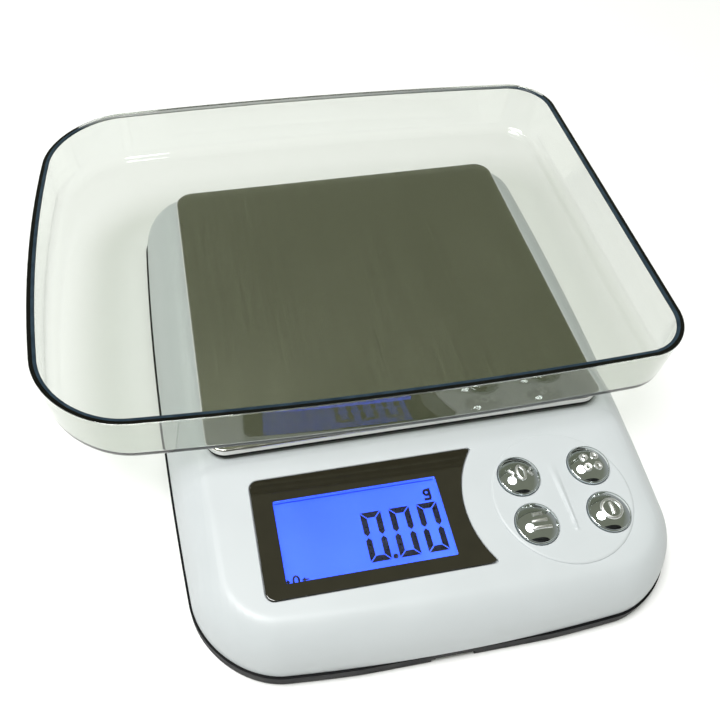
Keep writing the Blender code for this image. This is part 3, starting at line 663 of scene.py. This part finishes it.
def case_surface(inset, x):
    """Height of the case's side above the parting line, level from the crease on."""
    last = math.acos(1.0 - CREASE_INSET / SHOULDER_INSET)
    deck = DECK_Z - CASE_LOW.z
    height = deck / math.sin(last)
    slope = height * math.cos(last) / (SHOULDER_INSET * math.sin(last))
    if inset < CREASE_INSET:
        rise = height * math.sin(math.acos(1.0 - inset / SHOULDER_INSET))
    else:
        rise = deck + slope * (inset - CREASE_INSET)
    soft = crease_softness(x)
    share = min(1.0, max(0.0, 0.5 + 0.5 * (deck - rise) / soft))
    return deck + (rise - deck) * share - soft * share * (1.0 - share)


def deck_fall(x, y):
    """How far the top lies below the panel's back edge: the panel's tilt, and the plateau's step."""
    fall = max(0.0, PANEL_HINGE_Y - y) * math.tan(PANEL_TILT)
    corner = max(0.0, abs(x) - 62.0)
    step_y = PANEL_HINGE_Y - 1.4 - 7.0 * (1.0 - math.sqrt(max(0.0, 1.0 - (corner / 8.0) ** 2)))
    return fall + PLATEAU_STEP * ease(step_y - 1.2, step_y + 1.2, y)


def case_form(name, inset, drop, bottom):
    """The case's domed outer form, or, with an inset and a drop, the hollow inside it."""
    last = math.acos(1.0 - CREASE_INSET / SHOULDER_INSET)
    insets = [SHOULDER_INSET * (1.0 - math.cos(last * step / 18)) for step in range(19)]
    insets.extend([11.2, 12.1, 13.2, 14.5])
    rings = []
    if bottom is not None:
        rings.append([(x, y, bottom) for x, y in CASE.outline(inset)])
    for extra in insets:
        ring = []
        for x, y in CASE.outline(inset + extra):
            ring.append((x, y, CASE_LOW.z + case_surface(extra, x) - drop * min(1.0, extra / 8.0)))
        rings.append(ring)
    bm = loft(rings)
    cuts = [("y", PANEL_HINGE_Y)]
    cuts.extend(("y", PANEL_HINGE_Y - 11.0 + 0.6 * step) for step in range(24))
    cuts.extend(("x", side * (58.0 + 2.0 * step)) for step in range(9) for side in (-1, 1))
    for axis, value in cuts:
        point = (value, 0.0, 0.0) if axis == "x" else (0.0, value, 0.0)
        normal = (1.0, 0.0, 0.0) if axis == "x" else (0.0, 1.0, 0.0)
        geometry = [*bm.verts, *bm.edges, *bm.faces]
        bmesh.ops.bisect_plane(bm, geom=geometry, plane_co=point, plane_no=normal)
    top = DECK_Z - drop
    for vert in bm.verts:
        share = max(0.0, (vert.co.z - PARTING_Z) / (top - PARTING_Z))
        vert.co.z -= deck_fall(vert.co.x, vert.co.y) * share**2
    return piece(name, bm, BENCH, "white_plastic")


def pad_disc():
    """The round pad under the buttons, proud of the panel at the front, with a thin tapered ridge."""
    rings = 54
    steps = 150
    flat = PAD_RADIUS - PAD_EDGE
    levels = [(flat * ring / rings, 0.0) for ring in range(rings + 1)]
    for step in range(1, 7):
        angle = math.pi / 2 * step / 6
        levels.append((flat + PAD_EDGE * math.sin(angle), -PAD_EDGE * (1.0 - math.cos(angle)) * 0.6))
    levels.append((PAD_RADIUS, -1.9))
    bm = bmesh.new()
    centre = (PAD_X, PAD_Y)
    made = []
    for radius, drop in levels:
        if radius == 0.0:
            made.append([bm.verts.new((*centre, pad_height(*centre)))])
            continue
        ring = []
        for step in range(steps):
            x = centre[0] + radius * math.cos(TAU * step / steps)
            y = centre[1] + radius * math.sin(TAU * step / steps)
            ring.append(bm.verts.new((x, y, pad_height(x, y) + drop)))
        made.append(ring)
    for first, second in zip(made, made[1:]):
        for step in range(steps):
            after = (step + 1) % steps
            corners = [first[step % len(first)], first[after % len(first)], second[after], second[step]]
            bm.faces.new(list(dict.fromkeys(corners)))
    bm.faces.new(made[-1])
    return piece("pad_disc", bm, PANEL, "white_plastic")


def pad_height(x, y):
    """Above the panel: almost level at the pad's back, proud at its front, with a ridge along Y."""
    rise = 0.44 - 0.34 * ease(PAD_Y - 12.0, PAD_Y + 16.0, y)
    along = (PAD_Y + 12.8 - y) / 25.1
    if 0.0 <= along <= 1.0:
        half_width = 1.5 - 0.95 * along
        across = abs(x - PAD_X - 0.4) / half_width
        if across < 1.0:
            ends = ease(0.0, 0.5, along) * (1.0 - ease(0.93, 1.0, along))
            rise += 0.50 * ends * (1.0 - across**1.5)
    return rise


def flared_hole(name, outline_of, low, high):
    """A cutter whose mouth opens with a small chamfer at the panel's surface."""
    levels = [(0.0, low), (0.0, -0.22), (0.30, 0.08), (0.30, high)]
    return piece(name, loft(stack(outline_of, levels)), PANEL)


def circle_of(x, y, radius):
    return lambda grow: arc((x, y), radius + grow, 0, 360 - 360 / 64, 63)


def make_top_housing():
    """The white shell, with openings for the lens, the display, the load cell's post and the buttons."""
    housing = case_form("case_top", 0.0, 0.0, None)
    hollow = case_form("case_hollow", CASE_WALL, DECK_WALL, PARTING_Z - 1.0)
    below = prism(rounded_rectangle(200.0, 260.0, 1.0, 2), CASE_LOW.z - 5.0, CASE_LOW.z + BAND_RISE)
    foot = piece("edge_cut", below, BENCH)
    carve(housing, [("DIFFERENCE", hollow), ("UNION", pad_disc()), ("DIFFERENCE", foot)])
    recess = flared_hole("lens_recess", lambda grow: lens_outline(0.25 + grow), -1.4, 4.0)
    window_outline = rounded_rectangle(52.6, 27.3, 0.5, 4, WINDOW_CENTRE)
    window = piece("window_cut", prism(window_outline, -6.0, 3.0), PANEL)
    post_outline = rounded_rectangle(28.6, 20.6, 1.0, 6, (27.0, 0.0))
    post = piece("post_cut", prism(post_outline, 18.0, 30.0), BENCH)
    cuts = [("DIFFERENCE", recess), ("DIFFERENCE", window), ("DIFFERENCE", post)]
    for name, (x, y) in BUTTONS.items():
        cuts.append(("DIFFERENCE", flared_button_hole(name, x, y)))
    carve(housing, cuts)
    smooth(housing.data, 28.0)
    even_normals(housing)
    place(housing, "case", "white_plastic", "top_housing")


def make_base_band():
    """The lower housing's black edge, proud of the white shell at its sides; below the housing it goes on down
    almost to the floor as painted shade for the gap under the case.

    It is cut by a small arch at the front and by the battery door's way out at the back.
    """
    front = CASE_LOW.y

    def ring(inset, z):
        return [(x, max(y, front), z) for x, y in CASE.outline(inset)]

    top = CASE_LOW.z + BAND_RISE - 0.25
    # painted shade: below the bottom housing the band goes on down almost to the floor, filling the gap under the
    # case
    low = BAND_SHADE_FOOT
    levels = [(BAND_DEPTH, low), (0.1 - BAND_PROUD, low), (-BAND_PROUD, low + 0.5)]
    levels.extend([(-BAND_PROUD, top), (BAND_DEPTH, top)])
    bm = loft([ring(inset, z) for inset, z in levels], closed=True)
    band = piece("base_band", bm, BENCH, "black_plastic")
    arch_outline = rounded_rectangle(ARCH_WIDTH, 12.0, 2.0, 6, (ARCH_X, front))
    arch = piece("arch_cut", prism(arch_outline, low - 1.0, FLOOR_LOW.z + ARCH_RISE), BENCH)
    run_centre = ((DOOR_LOW.x + DOOR_HIGH.x) / 2, DOOR_LOW.y + 130.0)
    run_width = DOOR_HIGH.x - DOOR_LOW.x + 2 * DOOR_GAP
    run_outline = rounded_rectangle(run_width, 260.0, 0.5, 2, run_centre)
    door_run = piece("door_run_cut", prism(run_outline, low - 1.0, DOOR_HIGH.z + 0.4), BENCH)
    carve(band, [("DIFFERENCE", arch), ("DIFFERENCE", door_run)])
    smooth(band.data)
    place(band, "case", "black_plastic")


def flared_button_hole(name, x, y):
    """The round hole for a button, its mouth chamfered at the pad's own height."""
    top = pad_height(x, y)
    circle = circle_of(x, y, BUTTON_HOLE)
    levels = [(0.0, -6.0), (0.0, top - 0.20), (0.28, top + 0.08), (0.28, 4.0)]
    return piece("hole_" + name, loft(stack(circle, levels)), PANEL)


# ---------------------------------------------------------------- platform and tray


def make_platform():
    """The stainless sheet, its edge bent down into a skirt with a painted sheen, and the carrier's black edge
    flush under it, partly painted shade for the gap.
    """
    width = STEEL_HIGH.x - STEEL_LOW.x
    depth = STEEL_HIGH.y - STEEL_LOW.y

    def outline(inset):
        return rounded_rectangle(width - 2 * inset, depth - 2 * inset, PLATE_CORNER - inset)

    levels = [(0.0, STEEL_LOW.z)]
    for step in range(9):
        angle = math.pi / 2 * step / 8
        inset = PLATE_BEND * (1.0 - math.cos(angle))
        levels.append((inset, STEEL_HIGH.z - PLATE_BEND * (1.0 - math.sin(angle))))
    levels.append((PLATE_JOIN, STEEL_HIGH.z))
    under = STEEL_HIGH.z - PLATE_SHEET
    levels.extend([(PLATE_JOIN, under), (PLATE_SHEET + 0.2, under)])
    levels.extend([(PLATE_SHEET, under - 0.2), (PLATE_SHEET, STEEL_LOW.z)])
    bm = loft(stack(outline, levels), closed=True)
    remove_bridge(bm, outline(PLATE_JOIN), (STEEL_HIGH.z, under))
    plate = piece("stainless_platform", bm, BENCH, None, 40.0, ["brushed_steel", "steel_edge_painted_sheen"])
    # the bend and the skirt take the lighter steel, a painted sheen
    flat = (STEEL_HIGH.z - 0.01) * MM
    for polygon in plate.data.polygons:
        if any(plate.data.vertices[index].co.z < flat for index in polygon.vertices):
            polygon.material_index = 1
    even_normals(plate)
    place(plate, "platform", "brushed_steel", "platform_plate")
    # the carrier's black edge, flush with the skirt: partly the carrier, partly painted shade for the gap under
    # the skirt
    levels = [(0.5, CARRIER_LOW), (0.1, CARRIER_LOW + 0.4), (0.1, CARRIER_HIGH)]
    levels.extend([(3.0, CARRIER_HIGH), (3.0, CARRIER_LOW)])
    band = piece("carrier_edge_painted_shade", loft(stack(outline, levels), closed=True), BENCH, "black_plastic")
    place(band, "platform", "black_plastic")


def remove_bridge(bm, outline, levels):
    """Swaps the faces that join the sheet's two sides at an outline for flat faces across the plate."""
    spots = {(round(x, 3), round(y, 3)) for x, y in outline}
    ring = []
    for face in bm.faces:
        if all((round(vert.co.x, 3), round(vert.co.y, 3)) in spots for vert in face.verts):
            ring.append(face)
    bmesh.ops.delete(bm, geom=ring, context="FACES_ONLY")
    for z in levels:
        edges = [e for e in bm.edges if e.is_boundary and all(abs(v.co.z - z) < 0.001 for v in e.verts)]
        bmesh.ops.contextual_create(bm, geom=edges)


def tray_profile():
    """The dish's section as (inset, height): outer side up, across the rim, inner side down to the floor.

    The outer side is almost upright and the inner side leans inwards, so the wall is thin at its foot and
    thickens to the rim.
    """
    low = TRAY_LOW.z
    rim = TRAY_HIGH.z
    levels = []
    for step in range(9):
        angle = math.pi / 2 * step / 8
        inset = TRAY_DRAFT + TRAY_FILLET * (1.0 - math.sin(angle))
        levels.append((inset, low + TRAY_FILLET * (1.0 - math.cos(angle))))
    levels.append((0.04, rim - TRAY_LIP - 0.1))
    levels.append((0.0, rim - TRAY_LIP + 0.1))
    for step in range(5):
        angle = math.pi / 2 * step / 4
        levels.append((TRAY_ROUND * (1.0 - math.cos(angle)), rim - TRAY_ROUND * (1.0 - math.sin(angle))))
    levels.append((TRAY_EDGE, rim))
    for step in range(5):
        angle = math.pi / 2 * step / 4
        inset = TRAY_RIM - TRAY_ROUND * (1.0 - math.sin(angle))
        levels.append((inset, rim - TRAY_ROUND * (1.0 - math.cos(angle))))
    levels.append((TRAY_RIM, rim - TRAY_LIP))
    foot = TRAY_DRAFT + TRAY_WALL
    for step in range(9):
        angle = math.pi / 2 * step / 8
        inset = foot + TRAY_BOWL * (1.0 - math.cos(angle))
        levels.append((inset, low + TRAY_FLOOR + TRAY_BOWL * (1.0 - math.sin(angle))))
    return levels


def make_tray():
    """A clear moulded dish, a little turned, with a flat rim whose inner edge is painted dark as painted shade,
    and painted pale along the back.
    """
    centre_x = (TRAY_LOW.x + TRAY_HIGH.x) / 2
    centre_y = (TRAY_LOW.y + TRAY_HIGH.y) / 2
    half_length = (TRAY_HIGH.x - TRAY_LOW.x) / 2
    half_width = (TRAY_HIGH.y - TRAY_LOW.y) / 2
    shape = Bowed(
        half_width=half_width - TRAY_SIDE_BOW,
        front=-half_length + TRAY_END_BOW,
        back=half_length,
        front_radius=26.0,
        back_radius=16.0,
        side_bow=TRAY_SIDE_BOW,
        front_bow=TRAY_END_BOW,
        widest_y=0.0,
    )
    turn = Matrix.Rotation(TRAY_TURN, 2)

    def turned(inset):
        return [turn @ Vector((y, -x)) for x, y in shape.outline(inset)]

    rim_line = turned(0.0)
    left, right = min(spot.x for spot in rim_line), max(spot.x for spot in rim_line)
    near, far = min(spot.y for spot in rim_line), max(spot.y for spot in rim_line)
    fit_x = 2 * half_length / (right - left)
    fit_y = 2 * half_width / (far - near)
    levels = tray_profile()
    rings = []
    for inset, z in levels:
        ring = []
        for spot in turned(inset):
            x = centre_x + (spot.x - (left + right) / 2) * fit_x
            ring.append((x, centre_y + (spot.y - (near + far) / 2) * fit_y, z))
        rings.append(ring)
    bm = loft(rings)
    tray = piece("clear_tray", bm, BENCH, None, 30.0, ["clear_plastic", "rim_painted_shade_and_light"])
    count = len(rings[0])
    lip = TRAY_HIGH.z - TRAY_LIP - 0.1
    # faces on the rim's inner half take the rim's painted shade and light
    for polygon in tray.data.polygons:
        if len(polygon.vertices) != 4:
            continue
        insets = [levels[index // count][0] for index in polygon.vertices]
        heights = [levels[index // count][1] for index in polygon.vertices]
        if min(insets) >= TRAY_EDGE - 0.01 and min(heights) > lip:
            polygon.material_index = 1
    even_normals(tray)
    place(tray, "tray", "clear_plastic", "tray")


# ---------------------------------------------------------------- display and buttons


def make_lens():
    """The lens's dark mask, with the clear window set in it as a piece of its own."""
    levels = [(0.0, LENS_LOW), (0.0, LENS_HIGH - 0.3), (-0.09, LENS_HIGH - 0.09), (-0.3, LENS_HIGH)]
    bm = loft(stack(lens_outline, levels))
    mask = piece("lens", bm, PANEL, None, 25.0, ["smoked_lens", "lens_window"])
    hole_outline = rounded_rectangle(50.6, 25.4, 0.4, 4, WINDOW_CENTRE)
    hole = piece("lens_hole", prism(hole_outline, -3.0, 3.0), PANEL)
    carve(mask, [("DIFFERENCE", hole)])
    smooth(mask.data, 25.0)
    even_normals(mask)
    place(mask, "case", "smoked_lens", "display_lens")
    pane = prism(rounded_rectangle(50.56, 25.36, 0.38, 4, WINDOW_CENTRE), LENS_LOW, LENS_HIGH)
    place(piece("lens_pane", pane, PANEL, "lens_window"), "case", "smoked_lens")


def make_display():
    """The lit panel, and its marks as a thin layer of ink on top."""
    low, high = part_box("lcd_panel")
    top = (PANEL.inverted() @ ((low + high) / 2)).z + 1.0
    panel = prism(rounded_rectangle(57.0, 31.0, 0.4, 4, WINDOW_CENTRE), top - 2.0, top)
    place(piece("lcd_face", panel, PANEL, "lcd_glass"), "case", "lcd_glass", "lcd_panel")
    ink = bmesh.new()
    for outline in display_marks():
        bottom_ring = [ink.verts.new((x, y, top + 0.03)) for x, y in outline]
        top_ring = [ink.verts.new((x, y, top + 0.10)) for x, y in outline]
        count = len(outline)
        for index in range(count):
            after = (index + 1) % count
            ink.faces.new((bottom_ring[index], bottom_ring[after], top_ring[after], top_ring[index]))
        ink.faces.new(list(reversed(bottom_ring)))
        ink.faces.new(top_ring)
    place(piece("lcd_marks", ink, PANEL, "lcd_ink"), "case", "lcd_glass")


def display_marks():
    """Outlines of the three zeros, the point, the line above them, which is painted shade under the window's top
    edge, the unit and the zero sign.
    """
    marks = []
    height = 15.5
    width = 6.4
    thick = 0.92
    base_y = -39.1
    for centre_x in (-18.7, -9.8, -1.1):
        for side in (-1, 1):
            for half in (-1, 1):
                y = base_y + height / 2 + half * (height / 4 - 0.02)
                x = centre_x + side * (width / 2 - thick)
                marks.append(vertical_bar(x, y, height / 4 - 0.22, thick, side, half))
            y = base_y + height / 2 + side * (height / 2 - thick)
            marks.append(level_bar(centre_x, y, width / 2 - 0.20, thick, side))
    marks.append(arc((-14.25, base_y + 0.7), 0.80, 0, 330, 11))
    # painted shade: a thin dark line along the display's top, under the window's edge
    marks.append(bar((-46.9, 3.0), (-16.45, -16.27)))
    marks.extend(zero_sign())
    marks.extend(unit_sign())
    return marks


def bar(across, along):
    """A plain rectangle between two X and two Y values."""
    left, right = across
    near, far = along
    return [(left, near), (right, near), (right, far), (left, far)]


def vertical_bar(x, y, half_length, thick, side, half):
    """An upright bar, mitred at the digit's corner and pointed at its waist."""
    outer = x + side * thick
    inner = x - side * thick
    far = y + half * half_length
    near = y - half * half_length
    waist = near + half * thick
    return [(outer, far), (inner, far - half * 2 * thick), (inner, waist), (x, near), (outer, waist)]


def level_bar(x, y, half_length, thick, side):
    """A level bar at the top or the foot of a digit, its ends mitred."""
    outer = y + side * thick
    inner = y - side * thick
    left = x - half_length
    right = x + half_length
    return [(left, outer), (right, outer), (right - 2 * thick, inner), (left + 2 * thick, inner)]


def ring_marks(centre, radius_x, radius_y, thick, steps=20):
    """An oval ring as short quads."""
    marks = []
    for step in range(steps):
        quad = []
        for turn, grow in ((step, 0.0), (step + 1, 0.0), (step + 1, thick), (step, thick)):
            angle = TAU * turn / steps
            x = centre[0] + (radius_x - grow) * math.cos(angle)
            quad.append((x, centre[1] + (radius_y - grow) * math.sin(angle)))
        marks.append(quad)
    return marks


def zero_sign():
    """The zero indicator: a nought between two arrows."""
    centre_x = -44.2
    centre_y = -40.6
    marks = ring_marks((centre_x, centre_y), 1.15, 1.7, 0.62)
    for side in (-1, 1):
        x = centre_x + side * 2.7
        marks.append([(x - side * 1.1, centre_y), (x, centre_y + 0.75), (x, centre_y - 0.75)])
        marks.append(bar((x, x + side), (centre_y + 0.22, centre_y - 0.22)))
    return marks


def unit_sign():
    """The gram sign: a small g made of a ring, a stem and a hook."""
    centre_y = -20.3
    marks = ring_marks((0.0, centre_y), 1.25, 1.2, 0.80)
    marks.append(bar((0.48, 1.3), (centre_y + 1.3, centre_y - 1.9)))
    low = centre_y - 2.6
    high = centre_y - 1.8
    marks.append([(-1.1, low), (0.9, low), (1.3, high), (-1.1, high)])
    return marks


DOME_TOP = 3.0
DOME_EDGE = 1.05
DOME_RADIUS = 6.05


def dome_height(radius):
    """The cap's crown, a shallow arc."""
    share = min(1.0, radius / DOME_RADIUS)
    return DOME_EDGE + (DOME_TOP - DOME_EDGE) * (1.0 - share**2.25)


def cap_bm():
    """The chrome cap: its crown, a small groove round it, its wall and the flange under the panel."""
    profile = [(0.0, DOME_TOP)]
    for step in range(1, 21):
        radius = DOME_RADIUS * math.sin(math.pi / 2 * step / 20)
        profile.append((radius, dome_height(radius)))
    profile.extend([(6.10, 0.86), (6.22, 0.80), (6.36, 0.82), (6.47, 0.72), (6.5, 0.55), (6.5, -2.7)])
    profile.extend([(7.7, -2.7), (7.7, -3.6), (1.5, -3.6), (1.5, -4.3), (0.0, -4.3)])
    return lathe(profile, 72)


def raised_stroke(bm, points, half_width, closed=False):
    """A rounded raised line on the crown, through points in the cap's plane."""
    profile = [(-1.0, -0.2), (-0.85, 0.30), (-0.5, 0.48), (0.5, 0.48), (0.85, 0.30), (1.0, -0.2)]
    count = len(points)
    rings = []
    for index, point in enumerate(points):
        before = Vector(points[(index - 1) % count] if closed or index else points[0])
        after = Vector(points[(index + 1) % count] if closed or index < count - 1 else points[-1])
        along = (after - before).normalized()
        across = Vector((-along.y, along.x))
        ring = []
        for side, lift in profile:
            spot = Vector(point) + across * side * half_width
            ring.append(bm.verts.new((spot.x, spot.y, dome_height(spot.length) + lift)))
        rings.append(ring)
    pairs = list(zip(rings, rings[1:]))
    if closed:
        pairs.append((rings[-1], rings[0]))
    faces = []
    for first, second in pairs:
        for index in range(len(profile)):
            following = (index + 1) % len(profile)
            faces.append(bm.faces.new((first[index], first[following], second[following], second[index])))
    if not closed:
        faces.append(bm.faces.new(list(reversed(rings[0]))))
        faces.append(bm.faces.new(rings[-1]))
    # the strokes take the lighter relief metal, a painted highlight
    for face in faces:
        face.material_index = 1


def oval(centre, radius_x, radius_y, steps):
    """Points round an oval, the first one not repeated at the end."""
    turns = (TAU * step / steps for step in range(steps))
    return [(centre[0] + radius_x * math.cos(turn), centre[1] + radius_y * math.sin(turn)) for turn in turns]


def line(start, end, steps=8):
    return [tuple(Vector(start).lerp(Vector(end), step / steps)) for step in range(steps + 1)]


def icon_tare(bm):
    """A nought between two arrowheads."""
    raised_stroke(bm, oval((0.0, 0.0), 1.25, 2.3, 28), 0.42, True)
    for side in (-1, 1):
        for end in (1.3, -1.3):
            raised_stroke(bm, line((side * 3.6, end), (side * 2.45, 0.0)), 0.38)


def icon_units(bm):
    """Three bars of rising length."""
    for index, half_length in enumerate((1.5, 2.4, 3.3)):
        y = 2.1 - 2.1 * index
        raised_stroke(bm, line((-half_length, y), (half_length, y)), 0.52)


def icon_count(bm):
    """Four small rings in a square."""
    for x, y in ((-1.75, -1.75), (-1.75, 1.75), (1.75, -1.75), (1.75, 1.75)):
        raised_stroke(bm, oval((x, y), 0.95, 0.95, 18), 0.42, True)


def icon_power(bm):
    """The usual standby sign: a ring with a bar in its middle."""
    raised_stroke(bm, oval((0.0, 0.0), 3.0, 3.0, 48), 0.45, True)
    raised_stroke(bm, line((0.0, -1.9), (0.0, 1.9)), 0.55)


ICONS = {"tare": icon_tare, "units": icon_units, "count": icon_count, "power": icon_power}


def make_buttons():
    for name, (x, y) in BUTTONS.items():
        bm = cap_bm()
        ICONS[name](bm)
        spot = PANEL @ Matrix.Translation((x, y, 0.0))
        cap = piece("chrome_cap_" + name, bm, spot, None, 50.0, ["chrome", "satin_chrome_painted_highlight"])
        place(cap, "button_" + name, "chrome", "button_" + name)


# ---------------------------------------------------------------- the studio


def make_floor():
    bm = bmesh.new()
    bmesh.ops.create_grid(bm, x_segments=8, y_segments=8, size=3.0)
    mesh = bpy.data.meshes.new("floor")
    bm.to_mesh(mesh)
    bm.free()
    floor = bpy.data.objects.new("floor", mesh)
    bpy.context.scene.collection.objects.link(floor)
    paper = Surface("pale_paper", (0.90, 0.905, 0.905), 0.85)
    paper.vary(paper.noise(60.0), 0.006, 0.03)
    mesh.materials.append(paper.material)


def softbox(name, place_at, size, power):
    """A round light that faces the middle of the scale."""
    light = bpy.data.lights.new(name, "AREA")
    light.shape = "DISK"
    light.size = size
    light.energy = power
    obj = bpy.data.objects.new(name, light)
    obj.location = place_at
    obj.rotation_euler = (-Vector(place_at)).to_track_quat("-Z", "Y").to_euler()
    bpy.context.scene.collection.objects.link(obj)


def make_world():
    """Pale at the horizon and a dim olive overhead, which the steel reflects."""
    world = bpy.data.worlds.new("studio")
    bpy.context.scene.world = world
    world.use_nodes = True
    nodes = world.node_tree.nodes
    links = world.node_tree.links
    coordinates = nodes.new("ShaderNodeTexCoord")
    split = nodes.new("ShaderNodeSeparateXYZ")
    ramp = nodes.new("ShaderNodeValToRGB")
    ramp.color_ramp.elements[0].position = 0.10
    ramp.color_ramp.elements[0].color = (0.35, 0.364, 0.362, 1.0)
    ramp.color_ramp.elements[1].position = 0.50
    ramp.color_ramp.elements[1].color = (0.205, 0.215, 0.165, 1.0)
    links.new(coordinates.outputs["Generated"], split.inputs["Vector"])
    links.new(split.outputs["Z"], ramp.inputs["Fac"])
    links.new(ramp.outputs["Color"], nodes["Background"].inputs["Color"])


def make_flag():
    """A dark card in front of the scale, seen only in reflections."""
    bm = bmesh.new()
    bmesh.ops.create_circle(bm, cap_ends=True, segments=48, radius=0.42)
    mesh = bpy.data.meshes.new("dark_flag")
    bm.to_mesh(mesh)
    bm.free()
    flag = bpy.data.objects.new("dark_flag", mesh)
    flag.location = (0.10, -0.85, 0.52)
    flag.rotation_euler = (math.radians(60.0), 0.0, 0.0)
    flag.scale = (1.7, 0.75, 1.0)
    flag.visible_camera = False
    flag.visible_diffuse = False
    flag.visible_shadow = False
    flag.visible_transmission = False
    mesh.materials.append(moulded("dark_cloth", (0.012, 0.012, 0.012), 0.9, 1.0, 0.1).material)
    bpy.context.scene.collection.objects.link(flag)


def make_lights():
    softbox("key", (-0.46, -0.12, 1.65), 0.85, 35.5)


def make_camera():
    """The view from above the front left, at arm's length."""
    data = bpy.data.cameras.new("camera")
    data.sensor_width = 36.0
    data.lens = 38.085
    data.shift_x = 0.0733
    data.shift_y = -0.0111
    data.clip_start = 0.01
    camera = bpy.data.objects.new("camera", data)
    forward = Vector((0.1285, 0.60054, -0.7892)).normalized()
    right = Vector((0.98286, -0.18317, 0.02065)).normalized()
    up = right.cross(forward)
    matrix = Matrix((right, up, -forward)).transposed().to_4x4()
    matrix.translation = HOME + Vector((-0.06047, -0.18076, 0.23343))
    camera.matrix_world = matrix
    bpy.context.scene.collection.objects.link(camera)
    bpy.context.scene.camera = camera
    bpy.context.scene.view_settings.view_transform = "Standard"


dress_cad_nodes()
make_top_housing()
make_base_band()
make_platform()
make_tray()
make_lens()
make_display()
make_buttons()
make_floor()
make_world()
make_flag()
make_lights()
make_camera()
